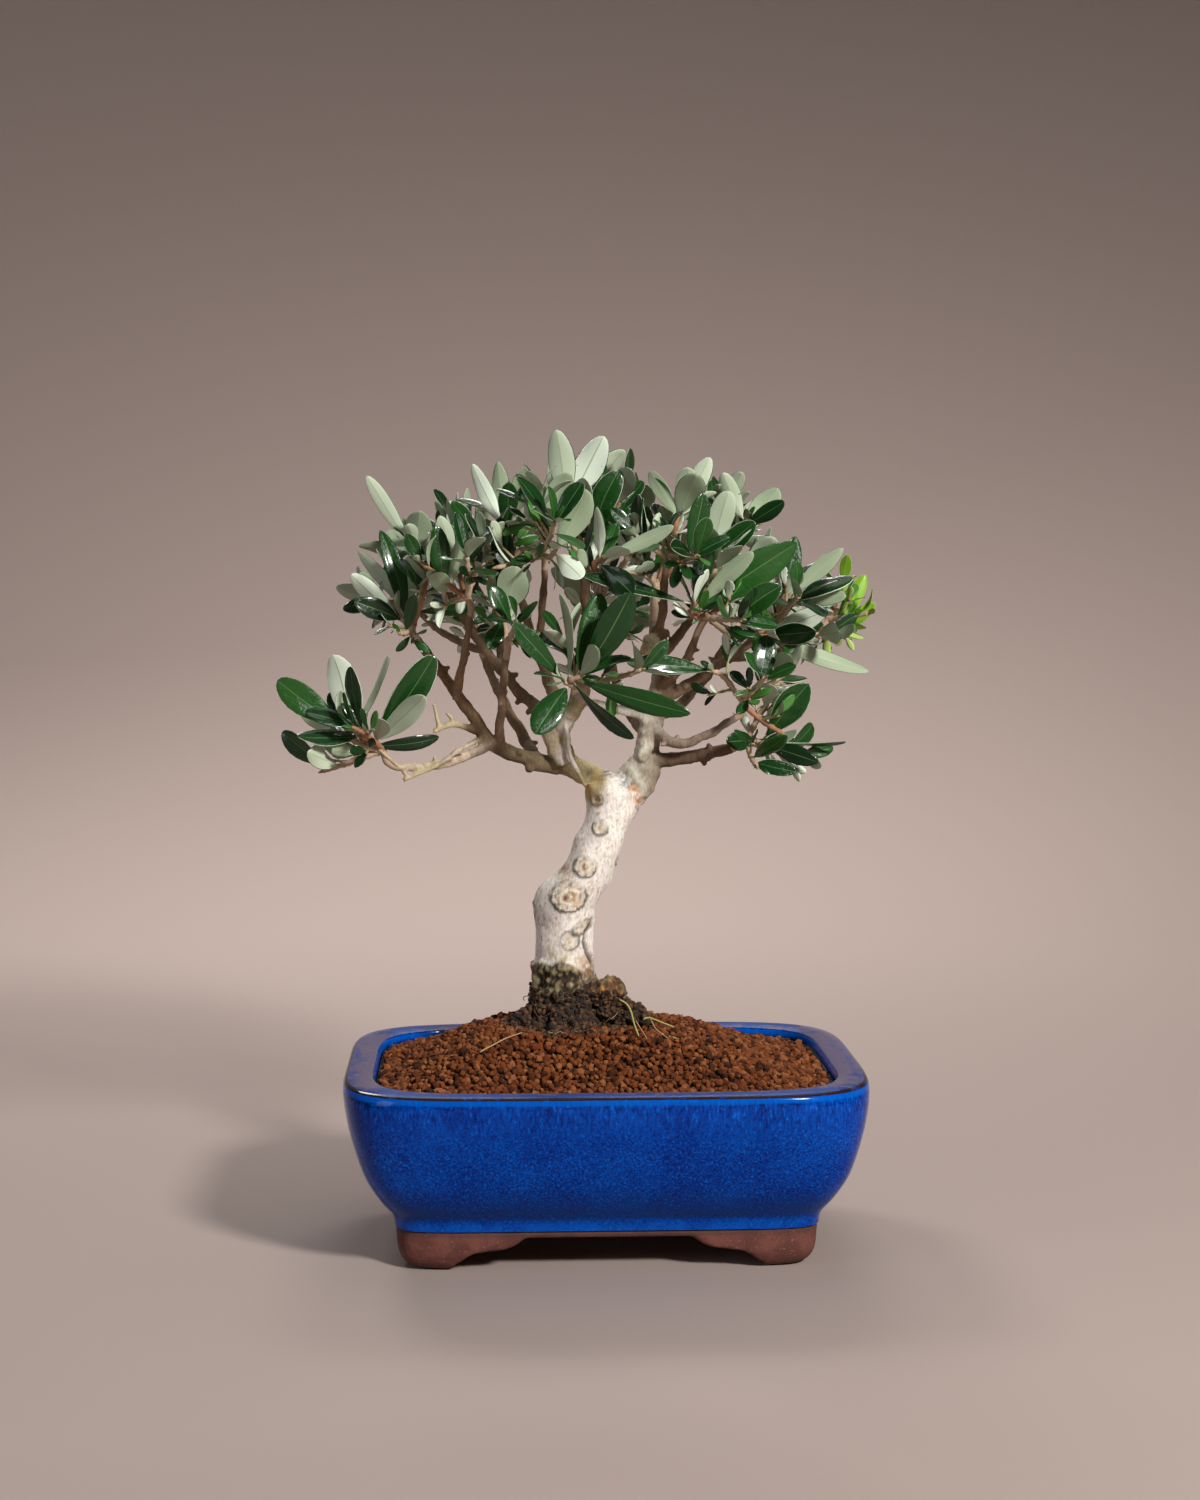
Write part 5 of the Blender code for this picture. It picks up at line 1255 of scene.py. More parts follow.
def glaze_finish():
    """Cobalt glaze: speckle over slow patches, streaked and paler where it runs thin at rim and foot, with a
    painted highlight along the rim's edge and a painted reflection in the worn colour of its top.
    """
    glossy, dull = GLAZE_ROUGHNESS
    glaze = Finish("cobalt_glaze", (0.0, 0.04, 0.30), glossy, Specular_IOR_Level=0.14)
    inset = glaze.node("ShaderNodeAttribute", "Fac", {}, attribute_name="inset")
    height = glaze.height()
    speckle = glaze.noise(0.85, 3.0, 0.7)
    streaks = glaze.noise(1.0, 2.0, 0.65, (1.0, 1.0, 0.28))
    near_rim = glaze.ramp(height, 50.0 * MM, 65.0 * MM, 0.0, 0.75)
    grain = glaze.mix(near_rim, speckle, streaks)
    patches = glaze.ramp(glaze.noise(24.0, 3.0, 0.55), 0.36, 0.64)
    deep, plain = glaze.mix(patches, *GLAZE_DEEP), glaze.mix(patches, *GLAZE_PLAIN)
    colour = glaze.mix(glaze.ramp(grain, 0.36, 0.54), deep, plain)
    colour = glaze.mix(glaze.ramp(grain, 0.54, 0.70), colour, GLAZE_SPECK)
    colour = glaze.paint(colour, GLAZE_POOLED, 0.6, glaze.band(height, (19.2, 21.5), (33.0, 24.0)))
    wander = glaze.ramp(glaze.noise(9.0, 3.0), 0.32, 0.62, 0.25, 1.0)
    thin = glaze.both(glaze.ramp(height, 21.6 * MM, 17.6 * MM), wander)
    colour = glaze.paint(colour, GLAZE_THIN, 0.6, thin)
    # Painted highlight: a paler band along the rim's rounded outer edge
    colour = glaze.paint(colour, GLAZE_LIT_EDGE, 0.6, glaze.band(height, (66.6, 67.8), (69.2, 68.9)))
    blots = glaze.ramp(glaze.noise(4.5, 4.0, 0.7, (1.0, 1.0, 3.0)), 0.50, 0.62)
    blots = glaze.both(glaze.band(height, (65.0, 66.0), (67.4, 66.8)), blots)
    colour = glaze.paint(colour, GLAZE_BLOT, 0.75, blots)
    upward = glaze.facing_up()
    # The rim's top: its worn colour is partly real wear and partly a painted violet-grey reflection, with
    # more of it towards the pot's ends
    wear_and_reflection = glaze.count("ADD", glaze.ramp(inset, 1.5, 10.5, -0.10, 0.13), glaze.noise(6.0, 4.0, 0.65))
    sideways = glaze.ramp(glaze.width(), 82.0 * MM, 92.0 * MM, -0.11, 0.11)
    wear_and_reflection = glaze.count("ADD", wear_and_reflection, sideways)
    top = glaze.mix(glaze.ramp(wear_and_reflection, 0.42, 0.62), *GLAZE_TOP)
    colour = glaze.mix(glaze.ramp(upward, 0.75, 0.97, 0.0, 0.92), colour, top)
    line = glaze.both(glaze.ramp(height, 69.0 * MM, 69.25 * MM), glaze.ramp(inset, 1.9, 1.3))
    line = glaze.both(line, glaze.ramp(glaze.noise(9.0, 3.0, 0.6), 0.34, 0.48, 0.35, 1.0))
    glaze.set("Base Color", glaze.mix(line, colour, GLAZE_LINE))
    dulled = glaze.both(glaze.ramp(upward, 0.8, 0.97), glaze.ramp(glaze.width(), 90.0 * MM, 80.0 * MM))
    glaze.set("Roughness", glaze.ramp(dulled, 0.0, 1.0, glossy, dull))
    glaze.relief(glaze.noise(3.5, 2.0), 0.10, 0.25)
    return glaze.made


def clay_finish():
    """Bare red-brown stoneware, with painted shade along its top under the bowl."""
    clay = Finish("bare_clay", (0.17, 0.058, 0.040), 0.82)
    blots = clay.ramp(clay.noise(9.0, 4.0, 0.6), 0.35, 0.65)
    colour = clay.mix(blots, (0.090, 0.024, 0.017), (0.150, 0.047, 0.033))
    grit = clay.ramp(clay.noise(0.8, 2.0), 0.62, 0.75)
    colour = clay.paint(colour, (0.36, 0.20, 0.15), 0.5, grit)
    # Painted shade: the top of the clay foot is darkened where the bowl above shades it
    painted_shade_under_bowl = clay.ramp(clay.height(), 12.6 * MM, 14.4 * MM, 0.0, 0.6)
    colour = clay.mix(painted_shade_under_bowl, colour, (0.045, 0.018, 0.013))
    clay.set("Base Color", colour)
    clay.relief(clay.noise(1.2, 3.0, 0.7), 0.3, 0.6)
    return clay.made


def bark_finish():
    """Bark whose colour is laid on the mesh, with fine streaks and flecks along the wood."""
    bark = Finish("olive_bark", (0.45, 0.38, 0.30), 0.85, Specular_IOR_Level=0.35)
    tone = bark.node("ShaderNodeAttribute", "Color", {}, attribute_name="tone")
    streak = bark.noise(0.95, 4.0, 0.72, (1.0, 1.0, 0.42))
    dull = bark.mix(1.0, tone, (0.79, 0.77, 0.76), "MULTIPLY")
    bright = bark.mix(1.0, tone, (1.14, 1.14, 1.13), "MULTIPLY")
    colour = bark.mix(bark.ramp(streak, 0.34, 0.58), dull, bright)
    fleck = bark.ramp(bark.noise(1.0, 3.0, 0.7), 0.60, 0.67)
    ruddy = bark.mix(1.0, tone, (0.80, 0.50, 0.26), "MULTIPLY")
    colour = bark.paint(colour, ruddy, 0.6, fleck)
    bark.set("Base Color", colour)
    bark.relief(bark.noise(0.8, 3.0, 0.7, (1.0, 1.0, 0.4)), 0.22, 0.5)
    return bark.made


def add_bowl():
    """The glazed bowl, with the slight unevenness of a pressed pot, always inwards."""
    profile = [*smooth_rows(BOWL_OUTSIDE, PROFILE_STEP), *BOWL_INSIDE]
    rings = [pot_ring(*row) for row in profile]
    for ring in rings:
        for point in ring:
            uneven = 0.5 + 0.5 * noise.noise(Vector(point * UNEVEN_SIZE))
            point[:2] *= 1.0 - UNEVEN_DEPTH * uneven
    bowl = add_piece("glazed_bowl", *loft(rings), [glaze_finish()])
    layer = bowl.data.attributes.new("inset", "FLOAT", "POINT")
    insets = np.repeat([inset for inset, _ in profile], POT_SIDES)
    layer.data.foreach_set("value", insets.astype(np.float32))
    bowl.data.set_sharp_from_angle(angle=math.radians(SHARP_EDGE))
    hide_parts("pot_bowl")
    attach(bowl, "root")


def arch_bar(half_length, share, along_x):
    """A bar with the arch's outline that runs through the foot, between two corner feet."""
    near = [(half_length - distance * share, height) for distance, height in CLOUD_ARCH]
    near = smooth_rows(near, ARCH_STEP)
    profile = [(near[0][0] + 2.0, -2.0), *(tuple(row) for row in near)]
    profile += [(-u, z) for u, z in reversed(profile)]
    ends = []
    for reach in (-POT_HALF_WIDTH, POT_HALF_WIDTH):
        ends.append([(reach, u, z) if along_x else (u, -reach, z) for u, z in profile])
    return loft([np.array(ring) for ring in ends])


def cut(obj, name, points, faces):
    """Cuts a shape out of an object and takes the shape away again."""
    cutter = add_piece(name, points, faces, [])
    modifier = obj.modifiers.new(name, "BOOLEAN")
    modifier.operation = "DIFFERENCE"
    modifier.solver = "EXACT"
    modifier.object = cutter
    mesh = evaluated_mesh(obj)
    obj.modifiers.clear()
    obj.data = mesh
    bpy.data.objects.remove(cutter)


def add_clay_foot():
    """The bare foot with its four cloud-shaped feet, softened as moulded clay is."""
    profile = smooth_rows(CLAY_OUTSIDE, CLAY_STEP)
    foot = add_piece("clay_foot", *loft([pot_ring(*row) for row in profile]), [])
    inset = BOWL_OUTSIDE[0][0]
    cut(foot, "pocket", *loft([pot_ring(*row) for row in FOOT_POCKET]))
    cut(foot, "front_arch", *arch_bar(POT_HALF_WIDTH - inset, 1.0, False))
    cut(foot, "side_arch", *arch_bar(POT_HALF_DEPTH - inset, SIDE_ARCH_SHARE, True))
    mesh = evened(foot, CLAY_GRAIN * MM)
    foot.modifiers.clear()
    foot.data = mesh
    points, edges = mesh_arrays(mesh)
    low, high = points.min(0), points.max(0)
    points = np.clip(relax(points, edges, 3), low, high)
    mesh.vertices.foreach_set("co", points.ravel())
    mesh.materials.clear()
    mesh.materials.append(clay_finish())
    mesh.shade_smooth()
    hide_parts("pot_foot")
    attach(foot, "root")


def wavering(line, radii, name, sway, swell, step):
    """A line with its radii, made finer, swayed aside and swollen unevenly between its ends."""
    rows = smooth_rows(np.column_stack([line, radii]), step)
    reached = np.concatenate([[0.0], np.cumsum(np.linalg.norm(np.diff(rows[:, :3], axis=0), axis=1))])
    seed = random.Random(name).uniform(0.0, 500.0)
    fade_in, fade_out = WAVER_FADE
    for row, at in zip(rows, reached):
        free = min(1.0, at / fade_in, (reached[-1] - at) / fade_out)
        turn = noise.noise_vector(Vector((seed, at * SWAY_RATE, 3.0)))
        row[:3] += np.array(turn) * sway * free
        row[3] *= 1.0 + swell * noise.noise(Vector((seed, at * SWELL_RATE, 9.0))) * free
    return rows[:, :3], rows[:, 3]


def add_tube(skin, line, radii, sides, kind=0):
    skin.add(*loft(tube_rings(line, radii, sides)), kind)


def add_wavering_tube(skin, points, thick, thin, waver, sides, kind=0):
    """A tube through the points, with a waver that the points themselves seed."""
    radii = np.linspace(thick, thin, len(points))
    add_tube(skin, *wavering(np.array(points), radii, str(points), *waver), sides, kind)


def bark_skin(lines):
    """Trunk, limbs, cut stubs, burl and dead wood as closed shapes that run into each other."""
    skin = Skin()
    rings = trunk_rings(0.0, FINE_TRUNK_STEP, FINE_TRUNK_SIDES)
    skin.add(*loft(rings))
    skin.add(*loft([rings[0] - (0.0, 0.0, ROOT_SUNK), rings[0] + (0.0, 0.0, 1.0)]))
    for limb in LIMBS:
        line, radii = wavering(*lines[limb.name], limb.name, *LIMB_WAVER)
        if limb.name == "right_fork":
            line[:, 0] += FORK_SPREAD * np.exp(-(((line[:, 2] - FORK_SPREAD_AT) / FORK_SPREAD_OVER) ** 2))
        add_tube(skin, line, radii, BARK_SIDES)
        draw = random.Random(f"{limb.name} knobs")
        for _ in range(round(np.linalg.norm(line[-1] - line[0]) / KNOB_SPACING)):
            k = draw.randrange(len(line) // 5, len(line) - 1)
            out = aside_of(unit(line[k + 1] - line[k]), draw.uniform(0.0, math.tau))
            tip = line[k] + out * (radii[k] + draw.uniform(*KNOB_RISE))
            add_tube(skin, np.array([line[k], tip]), [radii[k] * share for share in KNOB_RADII], KNOB_SIDES)
    for points, thick, thin in (*STUBS, *DEAD_WOOD):
        add_wavering_tube(skin, points, thick, thin, STUB_WAVER, STUB_SIDES)
    for points, thick, thin in ROOT_BURL:
        add_wavering_tube(skin, points, thick, thin, BURL_WAVER, STUB_SIDES)
    return skin


def nearest_tones(points, lines):
    """The base colour of each point of the bark: its nearest limb's, from foot to tip."""
    tones = []
    tree = KDTree(4000)
    for name, (line, _) in lines.items():
        foot, tip = LIMB_TONES.get(name, PLAIN_LIMB_TONES)
        turned = 1.0 if name in FORKS or name == "trunk" else ARM_TURN
        for share in np.linspace(TONE_FROM if name in FORKS else 0.0, 1.0, 40):
            tree.insert(point_at(line, share), len(tones))
            tones.append(np.array(foot) + (np.array(tip) - foot) * min(1.0, share / turned))
    for tone, rows in ((DEAD_TONE, DEAD_WOOD), (STUB_TONE, STUBS[TRUNK_STUBS:])):
        for line, _, _ in rows:
            for share in np.linspace(STUB_TONE_FROM, 1.0, 8):
                tree.insert(point_at(np.array(line), share), len(tones))
                tones.append(np.array(tone))
    tree.balance()
    return np.array([tones[tree.find(point)[1]] for point in points])


def blended(tones, marks, tone):
    return tones + (np.array(tone) - tones) * np.clip(marks, 0.0, 1.0)[:, None]


def noise_field(points, size, seed=0.0):
    """Noise at each point, about -1 to 1, with blots of the given size in millimetres."""
    scale = 1.0 / np.broadcast_to(np.asarray(size, float), 3)
    places = points * scale + (seed, 0.0, 0.0)
    return np.array([noise.noise(Vector(place)) for place in places])


class BarkCoat:
    """The relief and the colour of the bark at each vertex of its mesh, laid on mark by mark."""

    def __init__(self, points, tones):
        self.points = points
        self.rough, self.fine, self.grit, self.lumps = (noise_field(points, *row) for row in BARK_NOISES)
        self.on_trunk = np.clip((TRUNK_TOP - points[:, 2]) / 6.0, 0.0, 1.0)
        self.on_trunk *= np.hypot(points[:, 0] + 9.0, points[:, 1]) < TRUNK_REACH
        edge = np.interp(points[:, 0], *zip(*CRUST_EDGE)) + 1.6 * self.rough + 1.8 * self.lumps
        self.crust = np.clip((edge - points[:, 2]) / 1.8, 0.0, 1.0) * self.on_trunk
        depth = 0.40 * self.rough * self.on_trunk + (0.16 - 0.08 * self.on_trunk) * self.fine
        depth += (0.10 - 0.05 * self.on_trunk) * self.grit
        crusted = 2.2 * self.lumps + 0.8 * self.grit + 0.5
        self.depth = depth * (1.0 - self.crust) + self.crust * crusted
        shade = 1.0 + (0.16 - 0.08 * self.on_trunk) * self.rough
        shade = shade + (0.14 - 0.06 * self.on_trunk) * self.fine + 0.06 * self.lumps
        self.tones = tones * shade[:, None]

    def paint(self, marks, tone):
        self.tones = blended(self.tones, marks, tone)

    def blotch_trunk(self):
        """Warm and green patches on the trunk, and small dark pits."""
        for (size, seed), (gain, less), share, tone in TRUNK_PATCHES:
            patch = np.clip(gain * noise_field(self.points, size, seed) - less, 0.0, 1.0)
            self.paint(share * patch * self.on_trunk, tone)

    def scar(self, place, radius, ringed, wide):
        """A pruning scar grown over: a rim, rings, a sunk core, and a dark edge of painted shade that is
        widest below.
        """
        away = self.points - place
        tilt = SCAR_TILT * (wide - 1.0)
        sideways = away[:, 0] * math.cos(tilt) + away[:, 2] * math.sin(tilt)
        upwards = away[:, 2] * math.cos(tilt) - away[:, 0] * math.sin(tilt)
        faces_view = abs(place[1]) > SCAR_DEPTH
        inward = away[:, 1] * (0.2 if faces_view else 1.0)
        apart = np.sqrt((sideways / wide) ** 2 + inward**2 + upwards**2) / radius
        apart = apart + 0.12 * self.grit + 0.14 * self.lumps + 0.08 * self.rough
        near = (apart < SCAR_REACH) & ((self.points[:, 1] * place[1] > 0.0) | (not faces_view))
        rim_breadth, rim_height = SCAR_RIM
        rim = np.exp(-(((apart - 1.0) / rim_breadth) ** 2)) * near
        rim = rim * np.clip(0.6 + 1.1 * self.lumps, 0.0, 1.2)
        ring_rate, ring_depth = SCAR_RINGS
        rings = np.cos((1.0 - apart) * math.tau * ring_rate) * np.clip(1.1 - apart, 0.0, 1.0) * near
        core_size, core_depth = SCAR_HEART
        core = np.sqrt((sideways + 0.25 * radius) ** 2 + inward**2 + upwards**2) / radius
        core = np.clip(1.0 - (core + 0.2 * self.grit) / core_size, 0.0, 1.0)
        self.depth += rim_height * rim * (1.0 - self.crust)
        self.depth += ringed * (ring_depth * rings - core_depth * core * near)
        cream = np.clip(1.5 - 1.3 * apart, 0.0, 1.0) * near
        self.paint(0.6 * cream, SCAR_CREAM)
        self.paint(cream * np.clip(3.5 * self.fine - 0.7, 0.0, 0.8), SCAR_RUST)
        self.paint(cream * np.clip(3.0 * self.grit - 0.7, 0.0, 0.6), SCAR_PALE)
        specks = np.exp(-(((apart - 0.92) / 0.2) ** 2)) * near * np.clip(3.0 * self.grit + 0.2, 0.0, 1.0)
        specks = ringed * specks * np.clip(0.9 - 0.3 * upwards / radius, 0.3, 1.0)
        self.paint(specks, SCAR_SPECK)
        # Painted shade: a dark outline round the raised rim, widest below it
        band = max(0.14, SCAR_SHADE_BREADTH / radius)
        below = np.clip(0.75 - 0.35 * upwards / radius + 1.2 * self.lumps, 0.15, 1.0)
        edge = np.exp(-(((apart - 1.0 - band) / band) ** 2)) * near * below
        self.paint((0.75 + 0.25 * ringed) * edge, SCAR_PAINTED_SHADE)
        self.paint(0.8 * ringed * np.clip(-rings, 0.0, 1.0), SCAR_RING)
        self.paint(0.9 * ringed * core * near, SCAR_CORE)

    def spot(self, place, radius, tone):
        apart = np.linalg.norm((self.points - place) * (1.0, 0.3, 1.0), axis=1) / radius
        self.paint(0.9 * np.exp(-0.7 * apart**2) * (0.8 + 0.9 * self.grit + 0.7 * self.lumps), tone)

    def crack(self):
        """A dark crack down the trunk's front, along its line in the front view."""
        front = self.points[:, [0, 2]]
        apart = np.full(len(front), 9.0)
        for start, end in zip(np.array(CRACK), np.array(CRACK[1:])):
            way = end - start
            share = np.clip((front - start) @ way / way.dot(way), 0.0, 1.0)
            apart = np.minimum(apart, np.linalg.norm(front - start - share[:, None] * way, axis=1))
        apart = apart + 0.5 * self.grit + 0.4 * self.lumps
        mark = np.exp(-((apart / CRACK_HALF) ** 2)) * (1.0 - self.crust) * (self.points[:, 1] < -3.0)
        self.depth -= CRACK_DEPTH * mark
        self.paint(0.9 * mark, CRACK_TONE)

    def lay_crust(self):
        """The mossy crust at the foot, grey above and dark below, and the rusty burl in front."""
        burl = np.exp(-(np.linalg.norm((self.points - BURL_PLACE) / BURL_REACH, axis=1) ** 2))
        low = np.clip((CRUST_GREY + 3.0 * self.rough - self.points[:, 2]) / 4.0, 0.0, 1.0)
        marks = (
            (3.0 * self.lumps + 0.1, (0.20, 0.175, 0.095)),
            (3.2 * self.fine - 0.9, (0.30, 0.27, 0.18)),
            (2.6 * self.grit - 0.6, (0.34, 0.19, 0.09)),
            (-3.2 * self.grit - 0.7, (0.012, 0.008, 0.005)),
            (0.9 * low, (0.018, 0.011, 0.007)),
            (1.5 * burl * (0.8 + 0.9 * self.fine), (0.115, 0.045, 0.018)),
            (2.5 * burl * np.clip(self.grit - 0.15, 0.0, 1.0), (0.55, 0.24, 0.06)),
        )
        tones = np.tile(CRUST_TONE, (len(self.points), 1))
        for mark, tone in marks:
            tones = blended(tones, mark, tone)
        self.tones = self.tones + (tones - self.tones) * self.crust[:, None]


def add_bark(lines):
    """One skin of bark over trunk and limbs, with its relief modelled and its colour laid on."""
    mesh = remeshed(bark_skin(lines), BARK_GRAIN)
    points, edges = mesh_arrays(mesh)
    points = relax(points, edges, 3)
    normals = vertex_normals(mesh, points)
    tones = nearest_tones(points, lines)
    for _ in range(TONE_ROUNDS):
        tones = neighbour_mean(tones, edges)
    coat = BarkCoat(points, tones)
    coat.blotch_trunk()
    for row in RING_SCARS:
        coat.scar(*row)
    for row in TONE_SPOTS:
        coat.spot(*row)
    coat.crack()
    coat.lay_crust()
    points = relax(points + normals * coat.depth[:, None], edges, 1)
    mesh.vertices.foreach_set("co", (points * MM + POT_MIDDLE).ravel())
    layer = mesh.attributes.new("tone", "FLOAT_COLOR", "POINT")
    painted = np.column_stack([np.clip(coat.tones, *TONE_LIMITS), np.ones(len(points))])
    layer.data.foreach_set("color", painted.astype(np.float32).ravel())
    mesh.materials.clear()
    mesh.materials.append(bark_finish())
    mesh.shade_smooth()
    bark = bpy.data.objects.new("bark", mesh)
    bpy.context.scene.collection.objects.link(bark)
    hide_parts("trunk", *(limb.name for limb in LIMBS))
    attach(bark, "root")
    return bark


def plain_finishes(name, tones, roughness, **sockets):
    """One plain material for each tone."""
    return [Finish(f"{name}_{k + 1}", tone, roughness, **sockets).made for k, tone in enumerate(tones)]


def grain_shapes(count, seed):
    """Crumbs of twenty facets, dented and stretched each in its own way, and the faces of one."""
    rng = np.random.default_rng(seed)
    golden = (1.0 + math.sqrt(5.0)) / 2.0
    corners = []
    for a in (-1.0, 1.0):
        for b in (-golden, golden):
            corners += [(0.0, a, b), (a, b, 0.0), (b, 0.0, a)]
    corners = np.array(corners) / math.hypot(1.0, golden)
    faces = []
    for i in range(12):
        for j in range(i + 1, 12):
            for k in range(j + 1, 12):
                sides = [np.linalg.norm(corners[p] - corners[q]) for p, q in ((i, j), (j, k), (k, i))]
                if max(sides) < 1.2:
                    outward = np.linalg.det(corners[[i, j, k]]) > 0.0
                    faces.append((i, j, k) if outward else (i, k, j))
    shapes = corners[None] * rng.uniform(*GRAIN_DENTS, (count, len(corners), 1))
    shapes = shapes * rng.uniform(*GRAIN_STRETCH, (count, 1, 3))
    turns = rng.normal(size=(count, 4))
    w, x, y, z = (turns / np.linalg.norm(turns, axis=1)[:, None]).T
    spin = np.array(
        [
            [1 - 2 * (y * y + z * z), 2 * (x * y - w * z), 2 * (x * z + w * y)],
            [2 * (x * y + w * z), 1 - 2 * (x * x + z * z), 2 * (y * z - w * x)],
            [2 * (x * z - w * y), 2 * (y * z + w * x), 1 - 2 * (x * x + y * y)],
        ]
    ).transpose(2, 0, 1)
    return np.einsum("nij,nkj->nki", spin, shapes), faces


def soil_height(x, y):
    """Height of the soil's surface, from the way out to the pot's wall and the heap at the trunk."""
    aside = np.array([x - TRUNK_FOOT[0], y - TRUNK_FOOT[1]])
    inset = BOWL_INSIDE[3][0] + 2 * GAP
    low, high = 0.0, 3.0
    for _ in range(WALL_HALVINGS):
        middle = (low + high) / 2
        u = (TRUNK_FOOT[0] + aside[0] * middle) / (POT_HALF_WIDTH - inset)
        v = (TRUNK_FOOT[1] + aside[1] * middle) / (POT_HALF_DEPTH - inset)
        if abs(u) ** RIM_POWER + abs(v) ** RIM_POWER < 1.0:
            low = middle
        else:
            high = middle
    share = 1.0 / max(low, 1e-6)
    apart = float(np.linalg.norm(aside))
    heap = HEAP_HEIGHT * max(0.0, 1.0 - apart / HEAP_REACH) ** HEAP_POWER
    return share, mound_height(share) + heap


def add_grains(name, places, seed, tones, size):
    """Soil grains of random shape and tone at the given places."""
    shapes, faces = grain_shapes(len(places), seed)
    rng = np.random.default_rng(seed + 1)
    scale = rng.uniform(*size, (len(places), 1, 1))
    points = (shapes * scale + np.array(places)[:, None]).reshape(-1, 3)
    per_grain = shapes.shape[1]
    all_faces = [tuple(i + k * per_grain for i in face) for k in range(len(places)) for face in faces]
    kinds = np.repeat(rng.integers(0, len(tones), len(places)), len(faces))
    grains = add_piece(name, points, all_faces, tones, kinds, smooth=False)
    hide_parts("soil")
    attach(grains, "root")


def scatter_grains(spacing, seed, depth):
    """Places on a jittered honeycomb over the soil, clear of the pot's wall and the trunk."""
    rng = random.Random(seed)
    row_step = spacing * HONEYCOMB

    def jitter():
        return rng.uniform(-GRAIN_JITTER, GRAIN_JITTER) * spacing

    found = []
    for i in range(int(2 * POT_HALF_DEPTH / row_step)):
        for j in range(int(2 * POT_HALF_WIDTH / spacing)):
            x = (j + 0.5 * (i % 2)) * spacing - POT_HALF_WIDTH + jitter()
            y = i * row_step - POT_HALF_DEPTH + jitter()
            share, height = soil_height(x, y)
            if share < WALL_SHARE and math.dist((x, y), TRUNK_FOOT) > GRAINS_FROM:
                found.append((x, y, height - depth + rng.uniform(*GRAIN_RISE)))
    return found


def add_soil():
    """Dark earth below, and loose baked-clay grains over it in two layers."""
    dark = Finish("dark_earth", EARTH_TONE, 0.95).made
    earth_rings = [pot_ring(inset + 2 * GAP, height) for inset, height in BOWL_INSIDE[-1:3:-1]]
    edge = pot_ring(BOWL_INSIDE[4][0] + 2 * GAP, SOIL_AT_RIM - EARTH_SUNK)
    middle = np.array([*TRUNK_FOOT, 0.0])
    for share in np.linspace(1.0, 0.1, EARTH_RINGS):
        ring = middle + share * (edge - middle)
        for point in ring:
            point[2] = soil_height(point[0], point[1])[1] - EARTH_SUNK
        earth_rings.append(ring)
    earth = add_piece("earth", *loft(earth_rings), [dark])
    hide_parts("soil")
    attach(earth, "root")
    tones = plain_finishes("soil_grain", GRAIN_TONES, 0.9, Specular_IOR_Level=0.2)
    for name, places_seed, shapes_seed, spacing, depth in GRAIN_LAYERS:
        places = scatter_grains(spacing, places_seed, depth)
        add_grains(name, places, shapes_seed, tones, GRAIN_RADIUS)


def flare_place(draw, flare):
    """A place on the root flare, or on the soil just outside it, with the way out from the trunk."""
    if draw.random() < ON_SOIL:
        turn = draw.uniform(0.0, math.tau)
        out = np.array([math.cos(turn), math.sin(turn), 0.0])
        x, y = np.array(TRUNK_FOOT) + out[:2] * draw.uniform(*PEAT_AROUND)
        return np.array([x, y, soil_height(x, y)[1] - 0.5]), np.array([0.0, 0.0, 1.0])
    point = flare[min(int(len(flare) * draw.random() ** PEAT_LOW), len(flare) - 1)]
    out = unit(point - np.array([*TRUNK_FOOT, point[2] - 6.0]))
    return point + out * draw.uniform(*PEAT_CLING), out


def add_peat(bark):
    """Dark crumbs of peat and hair roots that cling to the root flare."""
    draw = random.Random("peat")
    points, _ = mesh_arrays(bark.data)
    points = (points - POT_MIDDLE) / MM
    low = (points[:, 2] < PEAT_TOP) & (points[:, 2] > GROUND - 1.0)
    flare = points[low][np.argsort(points[low, 2], kind="stable")]
    places = [tuple(flare_place(draw, flare)[0]) for _ in range(PEAT_CRUMBS)]
    add_grains("peat", places, PEAT_SEED, plain_finishes("peat", PEAT_TONES, 0.95), PEAT_RADIUS)
    skin = Skin()
    for _ in range(FIBRES):
        start, out = flare_place(draw, flare)
        side, _ = across(out)
        way = side * draw.choice((-1.0, 1.0)) + np.array([0.0, 0.0, -0.5])
        way = unit(way + out * draw.uniform(0.0, 0.3))
        end = start + way * draw.uniform(*FIBRE_LENGTH)
        line = bowed_line(start, end, out * draw.uniform(*FIBRE_BOW), 6)
        radius = draw.uniform(*FIBRE_RADIUS)
        add_tube(skin, line, [radius] * len(line), 5, draw.choice(FIBRE_KINDS))
    finishes = plain_finishes("root_fibre", FIBRE_TONES, 0.8)
    fibres = add_piece("root_fibres", skin.points, skin.faces, finishes, skin.kinds)
    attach(fibres, "root")


def add_roots():
    """Thin yellow-green roots and straw that lie on the grains by the trunk."""
    skin = Skin()
    for points, radius in ROOTLETS:
        kind = 0 if radius > STRAW_RADIUS else 1
        add_wavering_tube(skin, points, radius, radius * 0.7, ROOTLET_WAVER, KNOB_SIDES, kind)
    finishes = plain_finishes("rootlet", ROOTLET_TONES, 0.7)
    roots = add_piece("rootlets", skin.points, skin.faces, finishes, skin.kinds)
    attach(roots, "root")


def twig_line(twig):
    return smooth_rows(np.column_stack([twig.line, twig.radii]), TWIG_STEP)


